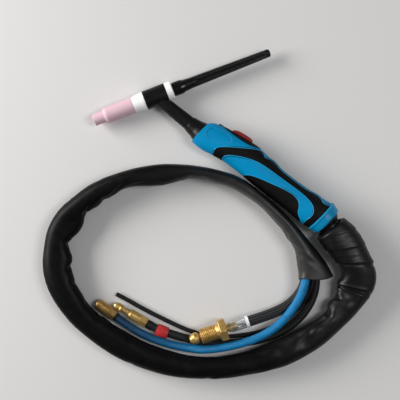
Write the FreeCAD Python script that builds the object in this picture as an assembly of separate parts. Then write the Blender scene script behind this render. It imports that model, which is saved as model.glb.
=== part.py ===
# Water-cooled TIG torch lying on its side with its zipped cable sleeve coiled round it.
# Millimetres. World X and Y lie on the floor, Z is up.
import math
import os

import FreeCAD
import Part

Vector = FreeCAD.Vector

# Lay of the torch on the floor
HEAD_X, HEAD_Y = -78.9, 65.1
HEAD_RADIUS = 11.25
HEAD_ANGLE = 21.1
LEAN = 2.635
NECK_ANGLE = -38.9
HANDLE_ANGLE = -34.6
COLLAR_ANGLE = -44.0
KNUCKLE_ANGLE = -52.0
HANDLE_FRONT = Vector(51.8, -41.7, 0)
BALL_LOCAL = Vector(193.4, -141.3, 0)

# Head
CORE_RADIUS = 8.0
CORE_BORE = 4.8
CORE_HALF = 12.0
HEAD_HALF = 13.6
NECK_LENGTH = 74.0
NECK_R_HEAD, NECK_R_HANDLE = 7.25, 8.9
ELECTRODE_BORE = 1.25
GASKET_FRONT = -28.0
GASKET_REAR = 21.0
NOZZLE_TIP = -76.7
CAP_END = 142.0
FLUTES = 12

# Pipes and hose tails
PIPE_RADIUS, PIPE_BORE = 2.2, 1.4
PIPE_CIRCLE = 3.6
TAIL_RADIUS = 4.0
TAIL_END = 147.0
PIPE_END = 38.0

# Handle outline: station, trigger side, palm side, half thickness
HANDLE_STATIONS = [
    (8.0, 17.6, -15.8, 13.9),
    (22.0, 20.8, -14.7, 14.4),
    (45.0, 22.8, -12.8, 15.2),
    (65.0, 23.4, -13.8, 15.5),
    (85.0, 20.4, -15.6, 15.3),
    (105.0, 17.4, -16.8, 15.3),
    (130.0, 16.2, -18.2, 16.0),
    (152.0, 16.2, -20.5, 17.5),
]
HANDLE_NOSE = (14.4, -14.6, 13.3)
HANDLE_TAIL = (17.5, -19.8, 18.3)
END_SLANT = 9.4
WALL = 2.5
INLAY_DEPTH = 1.8
FULLNESS = 0.58

# Collar and ball knuckle
BALL_RADIUS = 16.0
SEAT_RADIUS = 16.05
BALL_BORE = 9.6
BALL_FRONT = 12.0
BALL_NECK = 11.5
SPIGOT_RADIUS = 17.0
TAIL_TUBE_RADIUS = 12.6
RIB_RADIUS = 13.0
TAIL_TUBE_END = 46.2

# Trigger
PIVOT_X, PIVOT_N = 32.0, 18.5
PLUNGER_X = 50.0
BUTTON_HALF = 4.5
SLOT_HALF = 4.8
SKIRT_OUTER = 6.8

# Cord sizes
GAS_HOSE_R = 4.75
WATER_HOSE_R = 4.75
POWER_HOSE_R = 6.15
CONTROL_CABLE_R = 2.5

# Union nuts: widths across flats, thread radii, and where the gas nut's thread starts,
# counted from the hose end
GAS_NUT_FLATS = 11.0
WATER_NUT_FLATS = 11.2
POWER_NUT_FLATS = 24.0
GAS_THREAD_START = 17.4
GAS_THREAD_RADIUS = 5.0
POWER_THREAD_RADIUS = 9.0
FERRULE_RADIUS = 5.25
CLEAR_TUBE_RADIUS = 6.2
STRAND_BUNDLE_RADIUS = 4.4


def torch_placement():
    """Head axis rests level, handle leans until the collar lip also touches the floor."""
    axis = Vector(math.cos(math.radians(HEAD_ANGLE)), math.sin(math.radians(HEAD_ANGLE)), 0)
    return FreeCAD.Placement(Vector(HEAD_X, HEAD_Y, HEAD_RADIUS), FreeCAD.Rotation(axis, -LEAN))


TORCH = torch_placement()


def turned(shape, angle, origin=Vector(0, 0, 0)):
    """Shape whose own X axis is turned to a direction in the torch's plane."""
    result = shape.copy()
    result.Placement = FreeCAD.Placement(origin, FreeCAD.Rotation(Vector(0, 0, 1), angle)).multiply(
        result.Placement)
    return result


def in_torch(shape):
    result = shape.copy()
    result.Placement = TORCH.multiply(result.Placement)
    return result


def head(shape):
    return in_torch(turned(shape, HEAD_ANGLE))


def neck(shape):
    return in_torch(turned(shape, NECK_ANGLE))


def handle(shape):
    return in_torch(turned(shape, HANDLE_ANGLE, HANDLE_FRONT))


def collar(shape):
    return in_torch(turned(shape, COLLAR_ANGLE, BALL_LOCAL))


BALL = TORCH.multVec(BALL_LOCAL)


def knuckle(shape):
    return turned(shape, KNUCKLE_ANGLE, BALL)


def turned_part(profile):
    """Solid of revolution about X from a closed outline of (station, radius)."""
    points = [Vector(x, r, 0) for x, r in profile]
    face = Part.Face(Part.makePolygon(points + [points[0]]))
    return face.revolve(Vector(0, 0, 0), Vector(1, 0, 0), 360)


def rod(x0, x1, radius, y=0.0, z=0.0):
    return Part.makeCylinder(radius, x1 - x0, Vector(x0, y, z), Vector(1, 0, 0))


def ring(x0, x1, outer, inner, y=0.0, z=0.0):
    return rod(x0, x1, outer, y, z).cut(rod(x0 - 1, x1 + 1, inner, y, z))


def cross_rod(x, n, w0, w1, radius):
    return Part.makeCylinder(radius, w1 - w0, Vector(x, n, w0), Vector(0, 0, 1))


def block(x0, x1, y0, y1, z0, z1):
    return Part.makeBox(x1 - x0, y1 - y0, z1 - z0, Vector(x0, y0, z0))


def hexagon(x0, x1, across_flats, spin=0.0):
    corner = across_flats / math.sqrt(3)
    points = []
    for i in range(7):
        a = math.radians(60 * i + spin)
        points.append(Vector(x0, corner * math.cos(a), corner * math.sin(a)))
    return Part.Face(Part.makePolygon(points)).extrude(Vector(x1 - x0, 0, 0))


def fused(shapes):
    result = shapes[0]
    for shape in shapes[1:]:
        result = result.fuse(shape)
    return result.removeSplitter()


# Routes: straight runs joined by tangent arcs

def route_parts(points):
    """Edges of a route, and its frames (point, direction, run index) at every join."""
    pts = [Vector(*p) for p in points]
    runs = [(b - a).Length for a, b in zip(pts, pts[1:])]
    edges, frames, radii = [], [], []
    here = pts[0]
    frames.append((here, (pts[1] - pts[0]).normalize(), 0.0))
    for i in range(1, len(pts) - 1):
        d_in = (pts[i] - pts[i - 1]).normalize()
        d_out = (pts[i + 1] - pts[i]).normalize()
        half = d_in.getAngle(d_out) / 2
        setback = 0.45 * min(runs[i - 1], runs[i])
        radius = setback / math.tan(half)
        start = pts[i] - d_in * setback
        end = pts[i] + d_out * setback
        inward = (d_out - d_in).normalize()
        centre = pts[i] + inward * (radius / math.cos(half))
        middle = centre - inward * radius
        edges.append(Part.LineSegment(here, start).toShape())
        edges.append(Part.Arc(start, middle, end).toShape())
        frames.append((start, d_in, i - 0.3))
        if math.degrees(half) > 7:
            frames.append((middle, (d_in + d_out).normalize(), float(i)))
        frames.append((end, d_out, i + 0.3))
        radii.append(round(radius, 1))
        here = end
    edges.append(Part.LineSegment(here, pts[-1]).toShape())
    frames.append((pts[-1], (pts[-1] - pts[-2]).normalize(), float(len(pts) - 1)))
    return Part.Wire(edges), frames, radii


def tube(name, points, radius):
    wire, frames, radii = route_parts(points)
    start, direction, _ = frames[0]
    section = Part.Wire([Part.makeCircle(radius, start, direction)])
    solid = wire.makePipeShell([section], True, False)
    print(name, "length", round(wire.Length, 1), "radii", radii,
          "volume ratio", round(solid.Volume / (math.pi * radius ** 2 * wire.Length), 4))
    return solid


def oval(centre, side, up, right, left, top, bottom, fullness):
    """Closed wire of four quarter curves round a centre."""
    def corner(a, b, ra, rb):
        curve = Part.BezierCurve()
        curve.setPoles([
            centre + a * ra,
            centre + a * ra + b * (rb * fullness),
            centre + a * (ra * fullness) + b * rb,
            centre + b * rb])
        return curve.toShape()
    return Part.Wire([
        corner(side, up, right, top),
        corner(up, side * -1, top, left),
        corner(side * -1, up * -1, left, bottom),
        corner(up * -1, side, bottom, right)])


# Head: moulding with its neck, brass core, gaskets, collet body, collet, nozzle, cap

def make_head():
    nodes = {}
    core_solid = rod(-CORE_HALF, CORE_HALF, CORE_RADIUS)
    barrel = turned_part([
        (-HEAD_HALF, 0), (-HEAD_HALF, 10.6), (-HEAD_HALF + 0.7, HEAD_RADIUS),
        (HEAD_HALF - 0.7, HEAD_RADIUS), (HEAD_HALF, 10.6), (HEAD_HALF, 0)])
    neck_cone = turned_part([
        (0, 0), (0, NECK_R_HEAD), (NECK_LENGTH, NECK_R_HANDLE), (NECK_LENGTH, 0)])
    thumb_recess = fused([
        block(20, 33, -2.8, 2.8, 7.0, 12),
        Part.makeCylinder(2.8, 5, Vector(20, 0, 7.0)),
        Part.makeCylinder(2.8, 5, Vector(33, 0, 7.0))])
    moulding = turned(barrel, HEAD_ANGLE).fuse(turned(neck_cone.cut(thumb_recess), NECK_ANGLE))
    moulding = moulding.removeSplitter()

    # Pipes leave the core, run down the neck and spread to the hose tails
    core_torch = turned(core_solid, HEAD_ANGLE)
    neck_turn = FreeCAD.Rotation(Vector(0, 0, 1), NECK_ANGLE)
    handle_turn = FreeCAD.Rotation(Vector(0, 0, 1), HANDLE_ANGLE)
    pipes = {}
    for name, start, y, z, n_end, w_end in (
            ("gas_pipe", 10.4, PIPE_CIRCLE, 0.0, 3.1, 0.0),
            ("water_pipe", 7.8, -1.8, 3.12, -4.4, 4.3),
            ("power_pipe", 7.8, -1.8, -3.12, -4.4, -4.3)):
        a = neck_turn.multVec(Vector(start, y, z))
        b = neck_turn.multVec(Vector(71.0, y, z))
        c = HANDLE_FRONT + handle_turn.multVec(Vector(15.5, n_end, w_end))
        d = HANDLE_FRONT + handle_turn.multVec(Vector(PIPE_END, n_end, w_end))
        route = [tuple(a), tuple(b), tuple(c), tuple(d)]
        outer = tube(name, route, PIPE_RADIUS)
        inner = tube(name + " bore", route, PIPE_BORE)
        moulding = moulding.cut(outer)
        core_torch = core_torch.cut(outer)
        pipes[name] = outer.cut(inner)
    moulding = moulding.cut(turned(rod(-HEAD_HALF - 1, HEAD_HALF + 1, CORE_RADIUS), HEAD_ANGLE))
    core_torch = core_torch.cut(turned(rod(-20, 20, CORE_BORE), HEAD_ANGLE))
    core_torch = core_torch.cut(turned(rod(3.0, 11.0, 1.2, PIPE_CIRCLE, 0), NECK_ANGLE))
    moulding = moulding.cut(turned(rod(HEAD_HALF, GASKET_REAR + 1, HEAD_RADIUS), HEAD_ANGLE))
    nodes["head_moulding"] = in_torch(moulding)
    nodes["head_core"] = in_torch(core_torch)
    for name, solid in pipes.items():
        nodes[name] = in_torch(solid)

    nodes["front_gasket"] = head(turned_part([
        (-12.0, 6.25), (-12.0, 7.95), (-HEAD_HALF, 7.95), (-HEAD_HALF, 10.9), (-15.2, 11.1),
        (-17.0, 10.7), (GASKET_FRONT, 9.25), (GASKET_FRONT, 6.25)]))
    nodes["rear_gasket"] = head(turned_part([
        (12.0, 6.65), (GASKET_REAR, 6.65), (GASKET_REAR, 10.2), (GASKET_REAR - 0.8, 11.0),
        (HEAD_HALF, 11.0), (HEAD_HALF, 7.95), (12.0, 7.95)]))

    body = turned_part([
        (2.0, 2.4), (2.0, 4.8), (-12.0, 4.8), (-12.0, 6.25), (-28.0, 6.25), (-28.0, 6.0),
        (-40.0, 6.0), (-40.6, 4.4), (-46.0, 4.4), (-46.0, 1.9), (-44.6, 1.7), (-43.0, 2.4)])
    for i in range(4):
        a = math.radians(45 + 90 * i)
        body = body.cut(Part.makeCylinder(
            0.9, 8, Vector(-43.2, 0, 0), Vector(0, math.cos(a), math.sin(a))))
    nodes["collet_body"] = head(body)

    split = turned_part([
        (6.0, ELECTRODE_BORE), (6.0, 2.35), (-42.6, 2.35), (-44.2, 1.65), (-44.2, ELECTRODE_BORE)])
    for i in range(2):
        slit = block(-50, -26, -0.25, 0.25, -4, 4)
        slit.rotate(Vector(0, 0, 0), Vector(1, 0, 0), 90 * i)
        split = split.cut(slit)
    nodes["collet"] = head(split)

    nodes["nozzle"] = head(turned_part([
        (-28.05, 6.05), (-28.05, 8.6), (-28.7, 9.3), (-60.2, 9.3), (-61.6, 8.9), (-64.0, 7.1),
        (NOZZLE_TIP + 0.5, 6.75), (NOZZLE_TIP, 6.3), (NOZZLE_TIP, 4.75), (-60.0, 4.75),
        (-56.0, 5.6), (-41.0, 5.6), (-40.6, 6.05)]))

    cap = turned_part([
        (6.05, 0), (6.05, 4.75), (13.8, 4.75), (14.0, 5.4), (15.5, 5.4), (15.5, 4.75),
        (17.5, 4.75), (17.5, 5.4), (GASKET_REAR + 0.05, 5.4), (GASKET_REAR + 0.05, 7.6),
        (22.0, 8.0), (31.5, 8.0), (35.5, 7.0), (44.0, 6.3), (60.0, 6.1), (136.0, 4.75),
        (CAP_END - 3.0, 4.9), (CAP_END - 0.8, 4.3), (CAP_END, 2.8), (CAP_END, 0)])
    cap = cap.cut(rod(5.0, CAP_END - 8, 1.6))
    for i in range(FLUTES):
        a = 2 * math.pi * i / FLUTES
        cap = cap.cut(rod(23.0, 34.5, 1.15, 8.35 * math.cos(a), 8.35 * math.sin(a)))
    nodes["back_cap"] = head(cap)
    seal = Part.makeTorus(5.7, 0.9, Vector(16.5, 0, 0), Vector(1, 0, 0))
    nodes["cap_oring"] = head(seal)
    return nodes


# Handle

def handle_loft(inset, front, rear, stations=HANDLE_STATIONS):
    """Body of the handle, drawn in by an inset, between two slanted ends."""
    lean = math.radians(END_SLANT)
    slanted = Vector(math.sin(lean), math.cos(lean), 0)
    upright = Vector(0, 1, 0)
    out = Vector(0, 0, 1)
    wires = []

    def section(x, n0, n1, w, side):
        middle = (n0 + n1) / 2
        half = (n0 - n1) / 2 - inset
        centre = Vector(x, 0, 0) + side * middle
        wires.append(oval(centre, side, out, half, half, w - inset, w - inset, FULLNESS))

    section(front, *HANDLE_NOSE, slanted)
    for x, n0, n1, w in stations:
        section(x, n0, n1, w, upright)
    section(rear, *HANDLE_TAIL, slanted)
    return Part.makeLoft(wires, True, False)


def outline_prism(curves, w0, w1):
    """Prism along the split normal, closed outline of smooth curves and straight joins."""
    edges = []
    ends = []
    for points in curves:
        spline = Part.BSplineCurve()
        spline.interpolate([Vector(x, n, w0) for x, n in points])
        edges.append(spline.toShape())
        ends.append((Vector(*points[0], w0), Vector(*points[-1], w0)))
    closed = []
    for i, edge in enumerate(edges):
        closed.append(edge)
        a = ends[i][1]
        b = ends[(i + 1) % len(ends)][0]
        if (a - b).Length > 0.01:
            closed.append(Part.LineSegment(a, b).toShape())
    return Part.Face(Part.Wire(closed)).extrude(Vector(0, 0, w1 - w0))


STRIPE_CURVES = [
    [(38.8, -13.1), (38.4, -9.4), (45.6, -2.7), (54.0, 1.3), (72.4, 7.1), (98.3, 7.9),
     (126.9, 7.0), (145.2, 4.9), (155.8, -0.4), (159.1, -8.0), (157.0, -16.3), (159.5, -24.0)],
    [(174.0, -24.0), (174.0, 15.0)],
    [(174.0, 15.0), (165.2, 11.3), (160.8, 11.5), (157.7, 13.6), (143.1, 13.9), (114.9, 14.3),
     (99.9, 15.8), (84.6, 18.4), (78.0, 17.0), (73.6, 19.8), (70.0, 20.6), (66.7, 19.4),
     (48.6, 9.2), (30.9, -1.6), (25.8, -7.4), (26.6, -13.0), (27.0, -18.0)],
    [(27.0, -18.0), (38.8, -18.0)],
]
PALM_CURVES = [
    [(69.0, -20.0), (69.9, -13.5), (77.9, -9.0), (99.9, -4.4), (122.6, -0.9), (133.0, -1.8),
     (140.3, -6.9), (144.5, -14.5), (152.5, -20.0), (154.0, -26.0)],
]
LABEL_CURVES = [
    [(6.5, 6.3), (8.5, 10.5), (15.5, 12.5), (33.1, 13.5), (35.8, 12.0), (28.1, 2.4),
     (19.3, -1.0), (10.5, -1.4), (6.5, 3.0), (6.5, 6.3)],
]
SADDLE_CURVES = [
    [(13.5, 22.5), (18.8, 20.0), (28.2, 18.5), (42.7, 17.7), (49.6, 17.9), (56.1, 18.6),
     (61.8, 20.3), (67.5, 22.6), (70.5, 26.0)],
]
SCREWS = [(22.0, -11.8, 2.8), (82.0, 14.6, 3.0), (120.0, -12.6, 3.0)]


def make_handle():
    nodes = {}
    lean = math.radians(END_SLANT)
    ball_in_handle = FreeCAD.Rotation(Vector(0, 0, 1), -HANDLE_ANGLE).multVec(
        BALL_LOCAL - HANDLE_FRONT)
    ball_x, ball_n = ball_in_handle.x, ball_in_handle.y
    tail_x = ball_x - 5.0 / math.cos(lean) + ball_n * -math.tan(lean)
    outer = handle_loft(0.0, 0.4, tail_x)
    cavity = handle_loft(WALL, 0.4 + WALL, tail_x - 9.5)
    skin = outer.cut(handle_loft(INLAY_DEPTH, -2.0, tail_x + 2.0))
    proud = handle_loft(-0.5, 0.0, tail_x)

    to_collar = FreeCAD.Placement(
        Vector(ball_x, ball_n, 0),
        FreeCAD.Rotation(Vector(0, 0, 1), COLLAR_ANGLE - HANDLE_ANGLE))

    def from_collar(shape):
        shape.Placement = to_collar.multiply(shape.Placement)
        return shape

    spigot = from_collar(rod(-5.5, -2.2, SPIGOT_RADIUS))
    seat = from_collar(Part.makeSphere(SEAT_RADIUS))
    throat = from_collar(rod(-30.0, 0.0, 11.5))
    neck_in_handle = FreeCAD.Placement(
        Vector(0, 0, 0), FreeCAD.Rotation(Vector(0, 0, 1), NECK_ANGLE - HANDLE_ANGLE))
    front_local = FreeCAD.Rotation(Vector(0, 0, 1), -HANDLE_ANGLE).multVec(HANDLE_FRONT * -1)
    neck_in_handle.Base = front_local

    def from_neck(shape):
        shape.Placement = neck_in_handle.multiply(shape.Placement)
        return shape

    boot_spigot = from_neck(rod(60.0, 72.0, 10.4))
    body = outer.fuse(spigot).cut(cavity).cut(seat).cut(throat).cut(boot_spigot)

    saddle_zone = outline_prism(SADDLE_CURVES, -30, 30)
    housing = proud.cut(cavity).common(saddle_zone)
    body = body.cut(saddle_zone)
    skirt = block(27.5, 61.0, 6.6, 24.0, SLOT_HALF, SKIRT_OUTER)
    mirror_skirt = block(27.5, 61.0, 6.6, 24.0, -SKIRT_OUTER, -SLOT_HALF)
    slot = block(28.6, 57.0, 12.0, 30.0, -SLOT_HALF, SLOT_HALF)
    lug = block(13.2, 19.5, 17.5, 20.6, -3.2, 3.2).cut(cavity)
    body = body.cut(skirt).cut(mirror_skirt).cut(slot).cut(lug)
    label = outline_prism(LABEL_CURVES, 0, 30)
    body = body.cut(outer.cut(handle_loft(0.5, -2.0, tail_x + 2.0)).common(label))

    upper_zone = block(-30, 200, -60, 60, 0, 40)
    lower_zone = block(-30, 200, -60, 60, -40, 0)
    upper = body.common(upper_zone)
    lower = body.common(lower_zone)
    bosses_lower, bosses_upper, screws = [], [], []
    for x, n, r in SCREWS:
        bosses_lower.append(cross_rod(x, n, -20, 0, r).common(outer))
        bosses_upper.append(cross_rod(x, n, 0, 8.5, r).common(outer))
        screws.append(cross_rod(x, n, -8.2, 6.0, 1.5).fuse(cross_rod(x, n, -8.2, -6.2, 2.4)))
    lower = fused([lower] + bosses_lower)
    upper = fused([upper] + bosses_upper)

    inlays = {}
    for side, zone, w0, w1 in (("upper", upper_zone, 0, 30), ("lower", lower_zone, -30, 0)):
        stripe = skin.common(outline_prism(STRIPE_CURVES, w0, w1)).common(zone)
        palm = skin.common(outline_prism(PALM_CURVES, w0, w1)).common(zone)
        inlays[side] = (stripe.cut(saddle_zone), palm)
    upper = upper.cut(inlays["upper"][0]).cut(inlays["upper"][1])
    lower = lower.cut(inlays["lower"][0]).cut(inlays["lower"][1])
    lower_stripe, lower_palm = inlays["lower"]
    for x, n, r in SCREWS:
        well = cross_rod(x, n, -30, -6.2, 2.5)
        through = cross_rod(x, n, -30, 1, 1.5)
        lower = lower.cut(well).cut(through)
        upper = upper.cut(cross_rod(x, n, -1, 6.0, 1.5))
        lower_stripe = lower_stripe.cut(well)
        lower_palm = lower_palm.cut(well)
    nodes["handle_shell_upper"] = handle(upper)
    nodes["handle_shell_lower"] = handle(lower)
    nodes["upper_grip_stripe"] = handle(inlays["upper"][0])
    nodes["upper_palm_pad"] = handle(inlays["upper"][1])
    nodes["lower_grip_stripe"] = handle(lower_stripe)
    nodes["lower_palm_pad"] = handle(lower_palm)
    nodes["handle_screws"] = handle(Part.makeCompound(screws))

    # Boot: flare of the neck against the handle's slanted front
    flare = from_neck(turned_part([
        (50.5, 0), (50.5, 8.9), (52.0, 9.3), (60.0, 10.7), (64.0, 12.0), (66.5, 12.8),
        (72.0, 12.8), (72.0, 0)]))
    bore = from_neck(turned_part([
        (40, 0), (40, NECK_R_HEAD + (NECK_R_HANDLE - NECK_R_HEAD) * 40 / NECK_LENGTH),
        (NECK_LENGTH, NECK_R_HANDLE), (NECK_LENGTH, 0)]))
    boot = flare.cut(outer).fuse(boot_spigot).cut(bore)
    nodes["neck_boot"] = handle(boot.removeSplitter())

    # Trigger housing: saddle skin, two skirts that hold pin and switch
    under = handle_loft(-0.3, 0.0, tail_x)
    relief = block(20.0, 40.5, 0.0, 14.0, -10, 10)
    housing = fused([housing, skirt.common(under), mirror_skirt.common(under)])
    housing = housing.cut(slot).cut(relief)
    housing = housing.fuse(lug)
    housing = housing.cut(cross_rod(PIVOT_X, PIVOT_N, -6.0, 6.0, 1.25))
    pin_spots = [(43.5, 9.4), (56.5, 9.4)]
    for x, n in pin_spots:
        housing = housing.cut(cross_rod(x, n, -6.0, 6.0, 1.1))
    nodes["trigger_housing"] = handle(housing.removeSplitter())
    nodes["trigger_pin"] = handle(cross_rod(PIVOT_X, PIVOT_N, -6.0, 6.0, 1.25))

    button_points = [
        (29.6, 18.6), (29.6, 21.6), (31.5, 23.8), (34.6, 25.3), (39.6, 26.3), (46.5, 26.6),
        (52.0, 26.6), (55.0, 26.1), (56.2, 24.4), (56.2, 18.4), (52.5, 17.7), (47.5, 17.7),
        (46.0, 18.8), (37.0, 18.8), (34.4, 16.4), (30.6, 16.4)]
    profile = [Vector(x, n, -BUTTON_HALF) for x, n in button_points]
    button = Part.Face(Part.makePolygon(profile + [profile[0]])).extrude(
        Vector(0, 0, 2 * BUTTON_HALF))
    button = button.common(block(20, 70, 10, 25.9, -BUTTON_HALF, BUTTON_HALF).fuse(
        block(20, 70, 25.9, 27, -BUTTON_HALF + 1.0, BUTTON_HALF - 1.0)))
    button = button.cut(cross_rod(PIVOT_X, PIVOT_N, -6.0, 6.0, 1.3))
    nodes["trigger_button"] = handle(button)

    switch = block(40.0, 60.0, 7.4, 15.6, -SLOT_HALF, SLOT_HALF)
    switch = switch.cut(Part.makeCylinder(
        1.25, 6.0, Vector(PLUNGER_X, 10.0, 0), Vector(0, 1, 0)))
    pins = []
    for x, n in pin_spots:
        pins.append(cross_rod(x, n, -6.0, 6.0, 1.1))
        switch = switch.cut(pins[-1])
    switch = switch.cut(rod(57.0, 61.0, 1.5, 12.5, 0))
    nodes["switch_body"] = handle(switch)
    nodes["switch_pins"] = handle(Part.makeCompound(pins))
    nodes["switch_plunger"] = handle(Part.makeCylinder(
        1.2, 5.6, Vector(PLUNGER_X, 11.8, 0), Vector(0, 1, 0)))
    lead = tube("switch_lead", [
        (57.0, 12.5, 0), (70.0, 12.5, 0), (84.0, 9.4, 0), (104.0, 9.0, 0), (126.0, 9.2, 0),
        (TAIL_END, 9.6, 0)], 1.5)
    nodes["switch_lead"] = handle(lead)

    clamps = []
    for name, n, w, at in (
            ("gas_hose_tail", 3.1, 0.0, 24.0),
            ("water_hose_tail", -4.4, 4.3, 28.6),
            ("power_hose_tail", -4.4, -4.3, 33.2)):
        nodes[name] = handle(ring(22.0, TAIL_END, TAIL_RADIUS, PIPE_RADIUS, n, w))
        clamps.append(ring(at, at + 4.2, TAIL_RADIUS + 0.5, TAIL_RADIUS, n, w))
    nodes["hose_clamps"] = handle(Part.makeCompound(clamps))
    return nodes


# Collar and ball knuckle

def make_knuckle():
    nodes = {}
    band = turned_part([
        (-5.0, SPIGOT_RADIUS), (-5.0, 19.4), (-4.2, 20.3), (-3.0, 20.3), (-2.0, 19.6), (4.0, 18.3),
        (6.0, 17.4), (6.0, 10.0), (-2.2, 10.0), (-2.2, SPIGOT_RADIUS)])
    nodes["rear_collar"] = collar(band.cut(Part.makeSphere(SEAT_RADIUS)))

    front_r = math.sqrt(BALL_RADIUS ** 2 - BALL_FRONT ** 2)
    neck_x = math.sqrt(BALL_RADIUS ** 2 - BALL_NECK ** 2)
    tail = [
        (neck_x, BALL_NECK), (16.0, BALL_NECK), (18.0, TAIL_TUBE_RADIUS)]
    for rib in (24.0, 31.0, 44.0):
        tail += [
            (rib - 0.6, TAIL_TUBE_RADIUS), (rib, RIB_RADIUS), (rib + 1.2, RIB_RADIUS),
            (rib + 1.6, TAIL_TUBE_RADIUS)]
    tail += [(TAIL_TUBE_END, TAIL_TUBE_RADIUS), (TAIL_TUBE_END, BALL_BORE), (-BALL_FRONT, BALL_BORE),
             (-BALL_FRONT, front_r)]
    points = [Vector(x, r, 0) for x, r in tail]
    dome = Part.Arc(points[-1], Vector(0, BALL_RADIUS, 0), points[0]).toShape()
    ball = Part.Face(Part.Wire([dome] + Part.makePolygon(points).Edges)).revolve(
        Vector(0, 0, 0), Vector(1, 0, 0), 360)
    nodes["knuckle_ball"] = knuckle(ball)
    nodes["sleeve_strap"] = knuckle(ring(34.5, 41.5, 13.8, TAIL_TUBE_RADIUS))
    return nodes


# Cable sleeve: zipped cover with its hoses, drawn as one body, hollow at the mouth
# Route point, width, height
SLEEVE_ROUTE = [
    (123.4, -87.7, 20.5, 44, 34), (137.8, -105.9, 19.2, 42, 36), (157.7, -138.4, 15.4, 38, 30),
    (154.3, -162.8, 13.0, 41, 25.4), (132.4, -188.3, 12.9, 32, 25.4),
    (102.2, -213.2, 13.2, 30, 26), (67.4, -232.9, 12.9, 31, 25.4),
    (24.8, -245.6, 12.8, 30.5, 25), (-21.8, -250.7, 12.7, 29.5, 25),
    (-67.4, -244.6, 12.7, 30, 25), (-111.1, -227.8, 12.4, 32, 24.4),
    (-149.4, -203.4, 12.7, 30, 25), (-178.4, -173.8, 12.7, 30, 25),
    (-194.1, -136.2, 12.0, 33, 23.4), (-193.6, -99.1, 12.0, 33, 23.4),
    (-176.6, -70.1, 12.4, 31, 24), (-148.7, -45.7, 13.9, 26, 27), (-114.3, -30.1, 15.9, 20, 31),
    (-76.8, -23.8, 15.0, 22, 29), (-35.7, -20.9, 16.9, 16.5, 33), (-2.2, -27.9, 17.4, 14.5, 34),
    (22.8, -39.5, 17.4, 14, 34), (45.7, -57.1, 17.4, 14, 34), (67.4, -77.3, 16.6, 16.5, 32),
    (86.8, -101.8, 15.6, 22, 30), (99.2, -126.2, 14.4, 34, 28), (105.0, -145.3, 14.3, 44, 28)]
MOUTH_DEPTH = 16.0
MOUTH_NORMAL = Vector(0.10, -0.995, 0)


def make_sleeve():
    points = [p[:3] for p in SLEEVE_ROUTE]
    wire, frames, radii = route_parts(points)
    wires = []
    up = Vector(0, 0, 1)

    def sizes(index):
        lower = min(int(index), len(SLEEVE_ROUTE) - 2)
        part = index - lower
        a, b = SLEEVE_ROUTE[lower], SLEEVE_ROUTE[lower + 1]
        return [a[k] + (b[k] - a[k]) * part for k in (3, 4)]

    def fullness(index):
        mouth = max(0.0, index - (len(SLEEVE_ROUTE) - 4)) / 3
        return 0.58 + 0.2 * mouth

    for point, direction, index in frames:
        width, height = sizes(index)
        side = direction.cross(up).normalize()
        rise = side.cross(direction).normalize()
        if index == 0:
            wires.append(oval(point, side, rise, 19.0, 19.0, 15.4, 15.4, 0.58))
            point = point + direction * 3.0
        spread = 1.6 * max(0.0, index - (len(SLEEVE_ROUTE) - 3)) / 2
        wires.append(oval(point, side, rise, width / 2 + spread, width / 2 - spread, height / 2,
                          height / 2, fullness(index)))
    solid = Part.makeLoft(wires, True, True)
    end, direction, _ = frames[-1]
    side = direction.cross(up).normalize()
    rise = side.cross(direction).normalize()
    floor = end - direction * MOUTH_DEPTH
    floor_side = MOUTH_NORMAL.cross(up).normalize()
    inner = Part.makeLoft([
        oval(floor, floor_side, up, 17.0, 15.6, 12.4, 12.4, 0.78),
        oval(end + direction, side, rise, 22.6, 19.0, 12.5, 12.5, 0.78)], True, True)
    solid = solid.cut(inner)
    solid = solid.cut(knuckle(rod(0, TAIL_TUBE_END + 2, RIB_RADIUS)))
    solid = solid.cut(knuckle(rod(34.5, 41.5, 13.8)))
    print("cable_sleeve length", round(wire.Length, 1), "radii", radii)
    print("mouth floor", floor, "direction", direction)
    return {"cable_sleeve": solid}


# Hoses and cable outside the mouth
GAS_ROUTE = [
    (93.6, -130.9, 20.8), (94.7, -141.6, 20.6), (92.4, -154.4, 19.9), (86.4, -170.2, 17.8),
    (75.2, -186.2, 17.8), (60.4, -201.6, 17.8), (41.8, -213.0, 17.8), (20.4, -220.6, 17.8),
    (-3.1, -226.2, 15.8), (-25.0, -229.0, 11.9), (-39.6, -228.1, 6.0), (-54.4, -225.9, 5.2),
    (-71.8, -221.0, 5.2), (-90.8, -213.6, 5.6), (-109.5, -203.4, 6.6), (-127.0, -190.3, 6.6)]
WATER_ROUTE = [
    (105.8, -129.7, 7.6), (107.2, -141.0, 7.2), (108.0, -153.7, 6.2), (105.2, -167.7, 4.9),
    (99.2, -180.2, 4.9), (90.4, -191.8, 4.9), (79.2, -202.0, 4.9), (66.2, -209.9, 4.9),
    (52.2, -215.8, 4.9), (36.7, -219.8, 4.9), (18.0, -222.1, 4.9), (-1.9, -222.8, 4.9),
    (-21.8, -221.6, 4.9), (-41.0, -217.8, 4.9), (-59.2, -212.0, 5.6), (-77.06, -206.39, 6.6),
    (-90.0, -198.8, 6.6)]
POWER_ROUTE = [
    (93.6, -131.0, 9.2), (95.1, -141.4, 9.0), (94.6, -152.4, 8.3), (89.3, -163.8, 6.5),
    (80.2, -174.2, 6.4), (68.8, -181.8, 7.6), (54.8, -187.2, 11.2), (41.43, -191.22, 15.27),
    (28.05, -195.35, 16.0)]
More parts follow.
